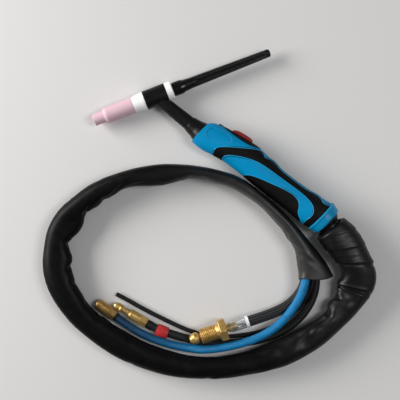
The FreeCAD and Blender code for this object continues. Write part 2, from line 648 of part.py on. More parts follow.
CABLE_ROUTE = [
    (101.8, -130.2, 16.4), (103.0, -142.2, 15.0), (102.2, -154.0, 13.2), (98.3, -166.4, 9.4),
    (89.8, -178.6, 5.0), (80.0, -189.6, 3.2), (68.2, -198.6, 2.6), (54.4, -205.6, 2.6),
    (39.0, -210.4, 2.6), (22.4, -213.6, 2.6), (5.0, -215.0, 2.6), (-12.6, -214.7, 2.6),
    (-29.4, -211.6, 2.6), (-44.0, -206.6, 2.6), (-59.3, -199.8, 2.6), (-76.9, -191.2, 2.6),
    (-95.6, -181.6, 2.6), (-110.9, -172.9, 2.6), (-125.5, -165.2, 2.6)]

GAS_END, GAS_TIP = Vector(-127.0, -190.3, 6.6), Vector(-148.0, -174.6, 6.6)
WATER_END, WATER_TIP = Vector(-90.0, -198.8, 6.6), Vector(-128.2, -176.4, 6.6)
POWER_END, POWER_TIP = Vector(28.05, -195.35, 16.0), Vector(-39.5, -216.2, 19.7)


def along(shape, start, end):
    """Shape drawn along X moved so that X runs from one point towards another."""
    result = shape.copy()
    turn = FreeCAD.Rotation(Vector(1, 0, 0), end - start)
    result.Placement = FreeCAD.Placement(start, turn).multiply(result.Placement)
    return result


def make_hoses():
    nodes = {}
    gas = tube("gas_hose", GAS_ROUTE, GAS_HOSE_R)
    water = tube("water_hose", WATER_ROUTE, WATER_HOSE_R)
    power = tube("power_hose", POWER_ROUTE, POWER_HOSE_R)
    cable = tube("control_cable", CABLE_ROUTE, CONTROL_CABLE_R)

    # Gas hose end: barbed nipple, crimp ring, union nut pushed back to the hose
    gas_nipple = turned_part([
        (-14.0, 2.0), (-14.0, 2.7), (-11.0, 3.3), (-11.0, 2.9), (-7.0, 3.3), (-7.0, 3.0),
        (10.0, 3.0), (10.0, 4.7), (11.5, 4.7), (13.5, 4.3), (16.0, 3.2), (16.8, 2.2), (16.8, 2.0)])
    gas_ferrule = ring(-3.2, -1.0, FERRULE_RADIUS, GAS_HOSE_R)
    gas_ferrule = gas_ferrule.fuse(ring(-1.0, 0.0, FERRULE_RADIUS, 3.0))
    gas_nut = turned_part([
        (9.3, 0), (9.3, 6.2), (10.0, 6.3), (23.6, 6.3), (25.2, 5.8), (25.8, 5.4), (25.8, 0)])
    gas_nut = hexagon(0.4, 9.3, GAS_NUT_FLATS, 30).common(rod(0.4, 9.3, 6.25)).fuse(gas_nut)
    gas_nut = gas_nut.cut(rod(0, 27, 3.1)).cut(rod(3.6, GAS_THREAD_START, 5.3))
    gas_nut = gas_nut.cut(rod(GAS_THREAD_START, 27, GAS_THREAD_RADIUS))
    nodes["gas_nipple"] = along(gas_nipple, GAS_END, GAS_TIP)
    nodes["gas_ferrule"] = along(gas_ferrule, GAS_END, GAS_TIP)
    nodes["gas_union_nut"] = along(gas_nut.removeSplitter(), GAS_END, GAS_TIP)
    gas = gas.cut(along(rod(-14.5, 0.5, 3.0), GAS_END, GAS_TIP))
    gas = gas.cut(along(rod(-1.0, 0.5, 6.0), GAS_END, GAS_TIP))
    gas = gas.cut(nodes["gas_nipple"])

    # Water hose end: long nipple with a ball nose, union nut pushed back to the hose
    water_nipple = turned_part([
        (-14.0, 2.0), (-14.0, 2.7), (-11.0, 3.3), (-11.0, 2.9), (-7.0, 3.3), (-7.0, 3.4),
        (32.6, 3.4), (33.4, 4.9), (35.2, 4.9), (36.0, 4.4), (38.6, 4.5), (41.6, 3.9),
        (43.4, 2.8), (44.0, 2.0)])
    water_ferrule = ring(-8.0, 0.0, FERRULE_RADIUS, WATER_HOSE_R)
    water_nut = turned_part([
        (8.6, 3.5), (8.6, 5.6), (9.0, 5.75), (21.6, 5.75), (23.2, 5.1), (23.2, 3.5)])
    water_nut = hexagon(0.4, 8.6, WATER_NUT_FLATS, 30).common(rod(0.4, 8.6, 6.3)).fuse(water_nut)
    water_nut = water_nut.cut(rod(3.6, 24, 5.0)).cut(rod(0, 4, 3.5))
    nodes["water_nipple"] = along(water_nipple, WATER_END, WATER_TIP)
    nodes["water_ferrule"] = along(water_ferrule, WATER_END, WATER_TIP)
    nodes["water_union_nut"] = along(water_nut.removeSplitter(), WATER_END, WATER_TIP)
    water = water.cut(along(rod(-14.5, 0.5, 2.9), WATER_END, WATER_TIP))
    water = water.cut(nodes["water_nipple"])

    # Power end: conductor strands in a clear tube, white band, nipple and large nut
    nipple = turned_part([
        (14.0, 0), (14.0, 4.6), (22.0, 4.6), (23.0, 5.4), (24.2, 5.4), (24.2, 3.9), (58.5, 3.5),
        (60.0, 5.4), (62.0, 6.6), (64.5, 6.8), (67.5, 6.0), (70.0, 4.0), (70.7, 2.2), (70.7, 0)])
    nipple = nipple.cut(rod(30.0, 75.0, 1.8))
    nodes["power_nipple"] = along(nipple, POWER_END, POWER_TIP)
    conductor = rod(-16.0, 14.0, STRAND_BUNDLE_RADIUS)
    nodes["power_conductor"] = along(conductor, POWER_END, POWER_TIP)
    clear = ring(0.0, 22.2, CLEAR_TUBE_RADIUS, 5.4)
    clear = clear.fuse(ring(0.0, 3.0, 5.4, STRAND_BUNDLE_RADIUS))
    nodes["power_hose_end"] = along(clear, POWER_END, POWER_TIP)
    nodes["white_band"] = along(ring(-0.5, 3.2, 7.0, CLEAR_TUBE_RADIUS), POWER_END, POWER_TIP)
    power = power.cut(along(rod(-16.0, 0.5, STRAND_BUNDLE_RADIUS), POWER_END, POWER_TIP))
    nut = turned_part([
        (26.2, 4.0), (26.2, 13.0), (27.0, 13.8), (34.2, 13.8), (35.0, 13.0), (35.0, 8.6),
        (39.5, 8.6), (39.5, POWER_THREAD_RADIUS), (56.6, POWER_THREAD_RADIUS), (57.6, 8.2),
        (57.6, 4.0)])
    nut = nut.common(hexagon(25.0, 35.0, POWER_NUT_FLATS).fuse(rod(34.0, 60.0, 9.5)))
    nut = nut.cut(rod(24.0, 33.0, 5.5))
    nodes["power_nut"] = along(nut, POWER_END, POWER_TIP)
    nodes["gas_hose"] = gas
    nodes["water_hose"] = water
    nodes["power_hose"] = power
    nodes["control_cable"] = cable

    # Tag: strip wrapped once round the water hose
    a, b = Vector(*WATER_ROUTE[-3]), Vector(*WATER_ROUTE[-2])
    nodes["hose_tag"] = along(rod(3.0, 14.0, WATER_HOSE_R + 0.6), a, b).cut(water)
    return nodes


def main():
    nodes = {}
    nodes.update(make_head())
    nodes.update(make_handle())
    nodes.update(make_knuckle())
    nodes.update(make_sleeve())
    nodes.update(make_hoses())
    os.makedirs("parts", exist_ok=True)
    for name in sorted(nodes):
        shape = nodes[name]
        if not shape.isValid():
            print("not valid:", name)
        shape.exportStep("parts/%s.step" % name)
    print(len(nodes), "nodes")
    print("ball centre", BALL)


main()
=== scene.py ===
import math

import bpy
import numpy as np
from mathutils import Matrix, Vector


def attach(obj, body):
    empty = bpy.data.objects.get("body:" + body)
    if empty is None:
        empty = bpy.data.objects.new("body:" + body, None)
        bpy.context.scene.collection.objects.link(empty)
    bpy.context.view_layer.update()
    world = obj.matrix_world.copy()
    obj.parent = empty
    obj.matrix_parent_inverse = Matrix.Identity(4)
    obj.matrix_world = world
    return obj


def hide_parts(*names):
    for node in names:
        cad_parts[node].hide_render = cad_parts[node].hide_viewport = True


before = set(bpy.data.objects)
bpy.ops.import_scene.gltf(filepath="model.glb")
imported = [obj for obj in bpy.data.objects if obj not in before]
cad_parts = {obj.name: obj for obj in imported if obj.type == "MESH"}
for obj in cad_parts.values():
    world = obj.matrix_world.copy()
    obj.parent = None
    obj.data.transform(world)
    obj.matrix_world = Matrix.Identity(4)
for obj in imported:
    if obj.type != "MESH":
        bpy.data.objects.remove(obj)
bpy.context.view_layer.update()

UP = np.array([0.0, 0.0, 1.0])
MM = 0.001
STEP = 0.0012  # distance between the rings of a cord's tube
rng = np.random.default_rng(7)

# Camera: straight down over the coiled torch
camera = bpy.data.objects.new("camera", bpy.data.cameras.new("camera"))
camera.data.angle = math.radians(29.28)
camera.data.clip_start = 0.01
camera.location = (-0.0276, -0.0550, 0.9)
bpy.context.collection.objects.link(camera)
bpy.context.scene.camera = camera


# Lines and tubes

def line_of(points):
    """Points along the smooth spline that these control points steer, as Blender draws it."""
    data = bpy.data.curves.new("route", "CURVE")
    data.dimensions = "3D"
    data.resolution_u = 20
    spline = data.splines.new("NURBS")
    spline.points.add(len(points) - 1)
    for target, point in zip(spline.points, points):
        target.co = (*point, 1.0)
    spline.order_u = 3
    spline.use_endpoint_u = True
    guide = bpy.data.objects.new("route", data)
    bpy.context.collection.objects.link(guide)
    bpy.context.view_layer.update()
    mesh = bpy.data.meshes.new_from_object(guide)
    line = np.array([vertex.co for vertex in mesh.vertices])
    bpy.data.objects.remove(guide)
    bpy.data.curves.remove(data)
    bpy.data.meshes.remove(mesh)
    return line


def lengths(line):
    return np.concatenate([[0.0], np.cumsum(np.linalg.norm(np.diff(line, axis=0), axis=1))])


def even(line, step):
    """The same line with points a step apart."""
    s = lengths(line)
    at = np.linspace(0.0, s[-1], max(2, int(round(s[-1] / step)) + 1))
    return np.stack([np.interp(at, s, line[:, k]) for k in range(3)], 1)


def unit(v):
    return v / np.linalg.norm(v, axis=-1, keepdims=True)


def frames(line):
    """Direction, side and rise of a lying line at each of its points."""
    direction = unit(np.gradient(line, axis=0))
    side = unit(np.cross(direction, UP))
    return direction, side, np.cross(side, direction)


def piece(name, vertices, faces, look, uv=None, smooth=True):
    mesh = bpy.data.meshes.new(name)
    mesh.from_pydata(np.asarray(vertices).tolist(), [], faces)
    if uv is not None:
        layer = mesh.uv_layers.new(name="UVMap")
        order = np.array([loop.vertex_index for loop in mesh.loops])
        layer.data.foreach_set("uv", np.asarray(uv)[order].astype(np.float32).ravel())
    mesh.polygons.foreach_set("use_smooth", [smooth] * len(mesh.polygons))
    mesh.materials.append(look)
    mesh.update()
    made = bpy.data.objects.new(name, mesh)
    bpy.context.collection.objects.link(made)
    return made


def grid_faces(rings, around, first=0):
    """Outward quads between successive closed rings."""
    faces = []
    for i in range(rings - 1):
        for j in range(around):
            k = (j + 1) % around
            a = first + i * around
            b = a + around
            faces.append((a + j, b + j, b + k, a + k))
    return faces


def ring_tube(name, grid, look, caps=(True, True)):
    """Tube from rings of points, shape (rings, around, 3), with a seam in its texture map."""
    rings, around = grid.shape[:2]
    along = lengths(grid.mean(axis=1))
    closed = np.concatenate([grid, grid[:, :1]], axis=1)
    vertices = closed.reshape(-1, 3)
    turn = np.linspace(0.0, 1.0, around + 1)
    uv = np.stack([np.repeat(along, around + 1), np.tile(turn, rings)], 1)
    faces = []
    for i in range(rings - 1):
        for j in range(around):
            a = i * (around + 1) + j
            b = a + around + 1
            faces.append((a, b, b + 1, a + 1))
    extra, extra_uv = [], []
    for end, wanted in ((0, caps[0]), (rings - 1, caps[1])):
        if not wanted:
            continue
        centre = len(vertices) + len(extra)
        extra.append(grid[end].mean(axis=0))
        extra_uv.append((along[end], 0.5))
        for j in range(around):
            a = end * (around + 1) + j
            faces.append((centre, a, a + 1) if end == 0 else (centre, a + 1, a))
    if extra:
        vertices = np.concatenate([vertices, extra])
        uv = np.concatenate([uv, extra_uv])
    made = piece(name, vertices, faces, look, uv)
    bpy.context.view_layer.update()
    weld = made.modifiers.new("weld", "WELD")
    weld.merge_threshold = 1e-6
    return made


def round_tube(name, line, radius, look, around=40):
    """Round tube along a line, and the points it follows."""
    path = even(line, STEP)
    _, side, rise = frames(path)
    angle = np.linspace(0.0, 2 * math.pi, around, endpoint=False)
    across = (radius * np.cos(angle))[None, :, None]
    upward = (radius * np.sin(angle))[None, :, None]
    grid = path[:, None] + side[:, None] * across + rise[:, None] * upward
    return ring_tube(name, grid, look), path


def axis_frame(start, toward):
    x = unit(np.subtract(toward, start))
    y = unit(np.cross(UP, x))
    return np.array(start), x, y, np.cross(x, y)


# Materials

class Look:
    """A node material being put together."""

    def __init__(self, name, **sockets):
        self.material = bpy.data.materials.new(name)
        self.material.use_nodes = True
        self.tree = self.material.node_tree
        self.shader = self.tree.nodes["Principled BSDF"]
        for key, value in sockets.items():
            self.shader.inputs[key.replace("_", " ")].default_value = value

    def node(self, kind, output, settings, *inputs):
        made = self.tree.nodes.new(kind)
        for key, value in settings.items():
            setattr(made, key, value)
        for key, value in inputs:
            if isinstance(value, bpy.types.NodeSocket):
                self.tree.links.new(value, made.inputs[key])
            else:
                made.inputs[key].default_value = value
        return made.outputs[output]

    def place(self):
        return self.node("ShaderNodeTexCoord", "Object", {})

    def uv(self):
        return self.node("ShaderNodeTexCoord", "UV", {})

    def parts(self, vector):
        made = self.tree.nodes.new("ShaderNodeSeparateXYZ")
        self.tree.links.new(vector, made.inputs[0])
        return made.outputs

    def stretched(self, vector, scale):
        return self.node("ShaderNodeVectorMath", 0, {"operation": "MULTIPLY"}, (0, vector), (1, scale))

    def noise(self, vector, scale, detail=3.0, roughness=0.5, distortion=0.0):
        return self.node("ShaderNodeTexNoise", 0, {}, ("Vector", vector), ("Scale", scale), ("Detail", detail),
                         ("Roughness", roughness), ("Distortion", distortion))

    def cells(self, vector, scale):
        return self.node("ShaderNodeTexVoronoi", 0, {"feature": "F1"}, ("Vector", vector), ("Scale", scale))

    def math(self, operation, a, b=0.0):
        return self.node("ShaderNodeMath", 0, {"operation": operation}, (0, a), (1, b))

    def remap(self, value, low, high, to_low, to_high):
        return self.node("ShaderNodeMapRange", 0, {"clamp": True}, (0, value), (1, low), (2, high), (3, to_low),
                         (4, to_high))

    def mix(self, factor, a, b):
        made = self.tree.nodes.new("ShaderNodeMix")
        made.data_type = "RGBA"
        for key, value in ((0, factor), (6, a), (7, b)):
            if isinstance(value, bpy.types.NodeSocket):
                self.tree.links.new(value, made.inputs[key])
            else:
                made.inputs[key].default_value = (*value, 1.0) if key else value
        return made.outputs[2]

    def along(self, point, direction):
        """Distance along an axis from a point on it, and the offset from that point, in metres."""
        offset = self.node("ShaderNodeVectorMath", 0, {"operation": "SUBTRACT"}, (0, self.place()), (1, point))
        dot = self.node("ShaderNodeVectorMath", "Value", {"operation": "DOT_PRODUCT"}, (0, offset), (1, direction))
        return dot, offset

    def colour(self, value):
        self.tree.links.new(value, self.shader.inputs["Base Color"])

    def rough(self, value):
        self.tree.links.new(value, self.shader.inputs["Roughness"])

    def relief(self, *layers):
        """Bump layers of (height socket, depth in metres), the broadest first."""
        normal = None
        for height, depth in layers:
            made = self.tree.nodes.new("ShaderNodeBump")
            made.inputs["Distance"].default_value = depth
            made.inputs["Strength"].default_value = 1.0
            self.tree.links.new(height, made.inputs["Height"])
            if normal is not None:
                self.tree.links.new(normal, made.inputs["Normal"])
            normal = made.outputs[0]
        self.tree.links.new(normal, self.shader.inputs["Normal"])


def moulded(name, colour, dark, light, rough=(0.36, 0.5), grain=2600.0, depth=0.00004, **sockets):
    """Moulded plastic: fine spark texture, faint flow streaks and rubbed spots."""
    look = Look(name, **sockets)
    place = look.place()
    flow = look.noise(look.stretched(place, (14.0, 40.0, 40.0)), 1.0, 4.0)
    spots = look.noise(place, 420.0, 5.0, 0.6)
    base = look.mix(look.remap(flow, 0.3, 0.7, 0.0, 1.0), [c * dark for c in colour], colour)
    rubbed = look.remap(spots, 0.62, 0.74, 0.0, 0.55)
    look.colour(look.mix(rubbed, base, [min(1.0, c * light + 0.004) for c in colour]))
    look.rough(look.remap(look.noise(place, 160.0, 4.0), 0.3, 0.7, *rough))
    look.relief((look.noise(place, 90.0, 2.0), 0.00012), (look.noise(place, grain, 2.0), depth))
    return look.material


def turned_metal(name, colour, deep, point, direction, pitch=0.00035, rough=(0.3, 0.46), metallic=0.86):
    """Lathe-cut metal: rings round its axis, hand marks and duller hollows."""
    look = Look(name, Metallic=metallic)
    along, _ = look.along(point, direction)
    place = look.place()
    wobble = look.noise(place, 900.0, 2.0)
    phase = look.math("ADD", look.math("MULTIPLY", along, 2 * math.pi / pitch), look.math("MULTIPLY", wobble, 5.0))
    rings = look.math("SINE", phase)
    tarnish = look.noise(place, 180.0, 5.0, 0.62)
    look.colour(look.mix(look.remap(tarnish, 0.36, 0.68, 0.0, 1.0), colour, deep))
    marks = look.noise(look.stretched(place, (700.0, 2400.0, 900.0)), 1.0, 3.0)
    look.rough(look.remap(marks, 0.3, 0.7, *rough))
    look.relief((look.noise(place, 260.0, 3.0), 0.00002), (rings, 0.000006))
    return look.material


def leather(name):
    """Thin black leatherette: pebble grain, stretched creases, sheen at both ends, greyer towards the mouth, with
    painted light on its inner, upper side and painted shade round the rest.
    """
    look = Look(name)
    place = look.place()
    s, turn, _ = look.parts(look.uv())
    pebbles = look.cells(place, 1050.0)
    warp = look.noise(place, 55.0, 4.0, 0.6, 0.4)
    creases = look.noise(place, 34.0, 6.0, 0.62, 1.1)
    fold = look.math("ABSOLUTE", look.math("SUBTRACT", creases, 0.5))
    line = look.remap(fold, 0.0, 0.05, 0.0, 1.0)
    base = look.mix(look.remap(warp, 0.32, 0.7, 0.0, 1.0), (0.0014, 0.0015, 0.0017), (0.0030, 0.0031, 0.0034))
    # Greyer towards the mouth, times painted light round the sleeve: lighter on the inner, upper side, painted shade
    # on the far side where the handle's shadow falls.
    grey_lift_and_painted_light = look.math("ADD", look.remap(s, 0.63, 0.68, 0.0, 0.12), look.remap(s, 0.73, 0.82, 0.0, 0.42))
    grey_lift_and_painted_light = look.math("MULTIPLY", grey_lift_and_painted_light, look.remap(turn, 0.2, 0.34, 1.25, 0.12))
    base = look.mix(grey_lift_and_painted_light, base, (0.036, 0.0355, 0.035))
    dust = look.noise(place, 900.0, 6.0, 0.7)
    look.colour(look.mix(look.remap(dust, 0.6, 0.82, 0.0, 0.3), base, (0.012, 0.0122, 0.013)))
    look.rough(look.remap(look.noise(place, 110.0, 5.0), 0.3, 0.72, 0.36, 0.5))
    shine = look.math("MAXIMUM", look.remap(s, 0.15, 0.24, 0.33, 0.1), look.remap(s, 0.70, 0.83, 0.1, 0.4))
    look.tree.links.new(shine, look.shader.inputs["Specular IOR Level"])
    look.relief((warp, 0.00018), (line, 0.00003), (pebbles, 0.00004))
    return look.material


def braided(name, light, dark, carriers, pitch, depth, rough, gaps):
    """Braid of crossing strands over a hose, from its texture map: metres along, turns round.

    It darkens towards the hose's far end.
    """
    look = Look(name, Specular_IOR_Level=0.34)
    s, turn, _ = look.parts(look.uv())
    steps = look.math("MULTIPLY", s, carriers / pitch)
    columns = look.math("MULTIPLY", turn, float(carriers))
    one = look.math("ADD", steps, columns)
    two = look.math("SUBTRACT", steps, columns)
    wave_one = look.math("SINE", look.math("MULTIPLY", one, 2 * math.pi))
    wave_two = look.math("SINE", look.math("MULTIPLY", two, 2 * math.pi))
    over = look.math("MAXIMUM", wave_one, wave_two)
    both = look.math("MULTIPLY", wave_one, wave_two)
    threads = look.noise(look.stretched(look.uv(), (9000.0, 60.0, 1.0)), 1.0, 2.0)
    shade = look.remap(over, -0.9, gaps, 0.0, 1.0)
    tone = look.noise(look.place(), 130.0, 4.0)
    base = look.mix(look.remap(tone, 0.3, 0.7, 0.0, 1.0), [c * 0.8 for c in light], light)
    base = look.mix(look.remap(s, 0.13, 0.27, 0.0, 0.9), base, dark)
    look.colour(look.mix(shade, dark, base))
    look.rough(look.remap(threads, 0.3, 0.7, *rough))
    look.relief((over, depth), (both, depth * 0.4), (threads, depth * 0.3))
    return look.material


def rubber(name, colour, light, rough=(0.42, 0.6), ribs=0):
    """Extruded rubber: long drawing lines, handling marks, faint talc."""
    look = Look(name, Specular_IOR_Level=0.28)
    place = look.place()
    lines = look.noise(look.stretched(look.uv(), (30.0, 90.0, 1.0)), 1.0, 3.0)
    talc = look.noise(place, 700.0, 6.0, 0.7)
    base = look.mix(look.remap(lines, 0.3, 0.7, 0.0, 1.0), colour, light)
    if ribs:
        _, turn, _ = look.parts(look.uv())
        ridge = look.math("SINE", look.math("MULTIPLY", turn, 2 * math.pi * ribs))
        # Rib crests painted paler: a painted highlight along each rib.
        base = look.mix(look.remap(ridge, 0.2, 0.95, 0.0, 0.8), base, [c * 5.0 for c in light])
    look.colour(look.mix(look.remap(talc, 0.6, 0.82, 0.0, 0.4), base, [c * 2.4 for c in light]))
    look.rough(look.remap(look.noise(place, 150.0, 4.0), 0.3, 0.7, *rough))
    layers = [(look.noise(place, 60.0, 3.0), 0.0003), (lines, 0.00008)]
    if ribs:
        layers.append((ridge, 0.0003))
    look.relief(*layers, (look.noise(place, 2400.0, 2.0), 0.00004))
    return look.material


HEAD = (-0.0789, 0.0651, 0.01125)
HEAD_AXIS = (math.cos(math.radians(21.1)), math.sin(math.radians(21.1)), 0.0)
GAS_END, GAS_TIP = (-0.1270, -0.1903, 0.0066), (-0.1480, -0.1746, 0.0066)
WATER_END, WATER_TIP = (-0.0900, -0.1988, 0.0066), (-0.1282, -0.1764, 0.0066)
POWER_END, POWER_TIP = (0.02805, -0.19535, 0.016), (-0.0395, -0.2162, 0.0197)


def direction_of(a, b):
    return tuple(float(v) for v in unit(np.subtract(b, a)))


BRASS, BRASS_DEEP = (0.74, 0.50, 0.18), (0.50, 0.31, 0.09)
OLD_BRASS, OLD_BRASS_DEEP = (0.55, 0.35, 0.12), (0.32, 0.18, 0.05)
looks = {
    "moulding": moulded("black_moulding", (0.0048, 0.005, 0.0055), 0.8, 1.9, (0.26, 0.4), Specular_IOR_Level=0.22),
    "blue": moulded("blue_shell", (0.0003, 0.25, 0.51), 0.88, 1.08, (0.34, 0.48), 2200.0, 0.00004,
                    Specular_IOR_Level=0.13),
    "grip": moulded("soft_grip", (0.0028, 0.0028, 0.003), 0.85, 1.8, (0.5, 0.68), 1700.0, 0.00008,
                    Specular_IOR_Level=0.13),
    "ring": moulded("blue_ring", (0.001, 0.27, 0.53), 0.86, 1.15, (0.28, 0.4), Specular_IOR_Level=0.26),
    "button": moulded("red_button", (0.24, 0.018, 0.018), 0.8, 1.2, (0.28, 0.4), Specular_IOR_Level=0.3),
    "collar": moulded("collar_moulding", (0.006, 0.006, 0.0065), 0.85, 2.0, (0.3, 0.44), Specular_IOR_Level=0.25),
    "gasket": moulded("white_gasket", (0.9, 0.9, 0.89), 0.95, 1.05, (0.3, 0.45), 1200.0, 0.00003),
    "band": moulded("white_band", (0.86, 0.86, 0.85), 0.94, 1.06, (0.25, 0.4), 1500.0, 0.00003),
    "alumina": moulded("alumina", (0.70, 0.475, 0.54), 0.94, 1.08, (0.5, 0.66), 3200.0, 0.00005,
                       Specular_IOR_Level=0.3),
    "tag": moulded("red_tag", (0.46, 0.030, 0.032), 0.85, 1.2, (0.3, 0.42), Specular_IOR_Level=0.25),
    "steel": turned_metal("screw_steel", (0.46, 0.46, 0.47), (0.3, 0.3, 0.31), HEAD, (0, 0, 1)),
    "copper": turned_metal("copper", (0.75, 0.38, 0.24), (0.45, 0.2, 0.12), HEAD, HEAD_AXIS),
    "head_brass": turned_metal("head_brass", BRASS, BRASS_DEEP, HEAD, HEAD_AXIS),
    "gas_brass": turned_metal("gas_brass", OLD_BRASS, OLD_BRASS_DEEP, GAS_END, direction_of(GAS_END, GAS_TIP)),
    "water_brass": turned_metal("water_brass", BRASS, BRASS_DEEP, WATER_END, direction_of(WATER_END, WATER_TIP)),
    "power_brass": turned_metal("power_brass", BRASS, BRASS_DEEP, POWER_END, direction_of(POWER_END, POWER_TIP)),
    "strand": turned_metal("tinned_strand", (0.72, 0.72, 0.72), (0.45, 0.44, 0.43), POWER_END,
                           direction_of(POWER_END, POWER_TIP), 0.0012, (0.35, 0.5), 0.5),
    "sleeve": leather("sleeve_leather"),
    "gas_hose": braided("blue_braid", (0.001, 0.27, 0.62), (0.0006, 0.014, 0.05), 16, 0.024, 0.00022,
                        (0.24, 0.34), 0.45),
    "water_hose": rubber("water_rubber", (0.006, 0.006, 0.0065), (0.011, 0.011, 0.012)),
    "power_hose": rubber("power_rubber", (0.008, 0.008, 0.0085), (0.012, 0.012, 0.013), ribs=12),
    "cable": rubber("cable_rubber", (0.0045, 0.0045, 0.005), (0.008, 0.008, 0.0085), (0.35, 0.5)),
}


def clear_tube():
    look = Look("clear_tube", Transmission_Weight=0.93, IOR=1.28, Roughness=0.08)
    place = look.place()
    haze = look.noise(place, 240.0, 4.0)
    look.colour(look.mix(look.remap(haze, 0.35, 0.65, 0.0, 1.0), (0.86, 0.88, 0.88), (0.95, 0.96, 0.96)))
    look.rough(look.remap(haze, 0.3, 0.7, 0.05, 0.12))
    look.relief((look.noise(place, 500.0, 2.0), 0.00005))
    return look.material


def fluted_cap():
    """Glossy black moulding with shallow flutes down the shank."""
    look = Look("cap_moulding", Specular_IOR_Level=0.32)
    place = look.place()
    along, offset = look.along(HEAD, HEAD_AXIS)
    across = look.node("ShaderNodeVectorMath", "Value", {"operation": "DOT_PRODUCT"}, (0, offset),
                       (1, (-HEAD_AXIS[1], HEAD_AXIS[0], 0.0)))
    _, _, height = look.parts(offset)
    turn = look.math("ARCTAN2", height, across)
    flutes = look.math("SINE", look.math("MULTIPLY", turn, 10.0))
    shank = look.math("MULTIPLY", look.remap(along, 0.046, 0.052, 0.0, 1.0),
                      look.remap(along, 0.134, 0.138, 1.0, 0.0))
    spots = look.noise(place, 420.0, 5.0, 0.6)
    look.colour(look.mix(look.remap(spots, 0.5, 0.74, 0.0, 0.5), (0.0028, 0.0028, 0.0032), (0.0065, 0.0065, 0.007)))
    look.rough(look.remap(look.noise(place, 160.0, 4.0), 0.3, 0.7, 0.18, 0.3))
    look.relief((look.math("MULTIPLY", flutes, shank), 0.00045), (look.noise(place, 1500.0, 2.0), 0.00003))
    return look.material


looks["clear"] = clear_tube()
looks["cap"] = fluted_cap()

node_looks = {
    "head_core": "head_brass", "head_moulding": "moulding", "front_gasket": "gasket", "rear_gasket": "gasket",
    "collet_body": "head_brass", "gas_pipe": "copper", "water_pipe": "copper", "power_pipe": "copper",
    "neck_boot": "moulding", "handle_shell_upper": "blue", "handle_shell_lower": "blue",
    "upper_grip_stripe": "grip", "lower_grip_stripe": "grip", "upper_palm_pad": "grip", "lower_palm_pad": "grip",
    "handle_screws": "steel", "rear_collar": "ring", "trigger_housing": "grip", "trigger_pin": "steel",
    "switch_body": "moulding", "switch_pins": "steel", "switch_lead": "cable", "gas_hose_tail": "cable",
    "water_hose_tail": "cable", "power_hose_tail": "cable", "hose_clamps": "steel", "collet": "copper",
    "cap_oring": "cable", "back_cap": "cap", "nozzle": "alumina", "trigger_button": "button",
    "switch_plunger": "button", "knuckle_ball": "collar", "sleeve_strap": "cable", "gas_nipple": "gas_brass",
    "gas_ferrule": "cable", "gas_union_nut": "gas_brass", "water_nipple": "water_brass", "water_ferrule": "cable",
    "water_union_nut": "water_brass", "power_nipple": "power_brass", "power_hose_end": "clear",
    "white_band": "band",
}
for node, key in node_looks.items():
    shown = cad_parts[node]
    for index in range(max(1, len(shown.material_slots))):
        if shown.material_slots:
            shown.material_slots[index].link = "OBJECT"
            shown.material_slots[index].material = looks[key]
        else:
            shown.data.materials.append(looks[key])


# Fine raised beads of the shells beside the inlays and round the label's recess, lighter blue as a painted highlight;
# beside the inlays also a thin dark line sunk in the skin as painted shade

SKIN_RISE, WALL_RISE = 0.3, 0.12  # least rise of a skin's normal, and most of a wall's


def rim_lines(node, keep):
    """Upper rims of a node's upright walls, as lines of points with the walls' outward side."""
    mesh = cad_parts[node].data
    spots = np.array([vertex.co for vertex in mesh.vertices])
    _, first, same = np.unique(np.round(spots, 6), axis=0, return_index=True, return_inverse=True)
    spots, same = spots[first], same.ravel()
    sides = {}
    for polygon in mesh.polygons:
        corners = [int(same[k]) for k in polygon.vertices]
        normal = np.array(polygon.normal)
        for a, b in zip(corners, corners[1:] + corners[:1]):
            sides.setdefault((min(a, b), max(a, b)), []).append(normal)
    joined, outward = {}, {}
    for (a, b), normals in sides.items():
        if len(normals) != 2 or a == b:
            continue
        skin, wall = sorted(normals, key=lambda n: -n[2])
        if skin[2] < SKIN_RISE or abs(wall[2]) > WALL_RISE or not keep((spots[a] + spots[b]) / 2):
            continue
        for one, other in ((a, b), (b, a)):
            joined.setdefault(one, []).append(other)
            outward[one] = outward.get(one, 0) + wall
    lines, done = [], set()
    for start in sorted(joined, key=lambda k: len(joined[k]) != 1):
        if start in done:
            continue
        chain, here = [start], start
        done.add(start)
        while True:
            ahead = [k for k in joined[here] if k not in done]
            if not ahead:
                break
            here = ahead[0]
            done.add(here)
            chain.append(here)
        if start in joined[here] and len(chain) > 3:
            chain.append(start)
        if len(chain) > 3:
            lines.append((spots[chain], unit(np.array([outward[k] for k in chain]))))
    return lines


def rim_bead(name, found, offset, radius, look, sink=0.35):
    """Thin bead along rims, set off from them and sunk a little in the skin."""
    vertices, faces = [], []
    for line, outward in found:
        s = lengths(line)
        if s[-1] < 0.006:
            continue
        at = np.arange(0.0, s[-1], 0.0007)
        path = np.stack([np.interp(at, s, line[:, k] + outward[:, k] * offset) for k in range(3)], 1)
        path[:, 2] -= radius * sink
        for _ in range(3):
            path[1:-1] = path[:-2] * 0.25 + path[1:-1] * 0.5 + path[2:] * 0.25
        _, side, rise = frames(path)
        first = len(vertices)
        fade = np.clip(np.minimum(at, s[-1] - at) / 0.002, 0.1, 1.0)
        for point, x, z, f in zip(path, side, rise, fade):
            for k in range(8):
                turn = 2 * math.pi * k / 8
                vertices.append(point + (x * math.cos(turn) + z * math.sin(turn)) * radius * f)
        faces += grid_faces(len(path), 8, first)
    made = piece(name, vertices, faces, look)
    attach(made, "torch")
    return made


HANDLE_FRONT = (-0.0271, 0.0234)
HANDLE_TURN = math.radians(-34.6)


def in_handle(point):
    """Millimetres along the handle from its front, and across it."""
    x, y = (point[0] - HANDLE_FRONT[0]) / MM, (point[1] - HANDLE_FRONT[1]) / MM
    cos, sin = math.cos(HANDLE_TURN), math.sin(HANDLE_TURN)
    return x * cos + y * sin, y * cos - x * sin


def beside_shell(point):
    """Clear of the collar and of the trigger's saddle."""
    u, n = in_handle(point)
    return u < 171 and not (u < 76 and n > 18.6)


def round_label(point):
    """Beside the recess for the label."""
    u, n = in_handle(point)
    return 4 < u < 38 and -3.5 < n < 15.5
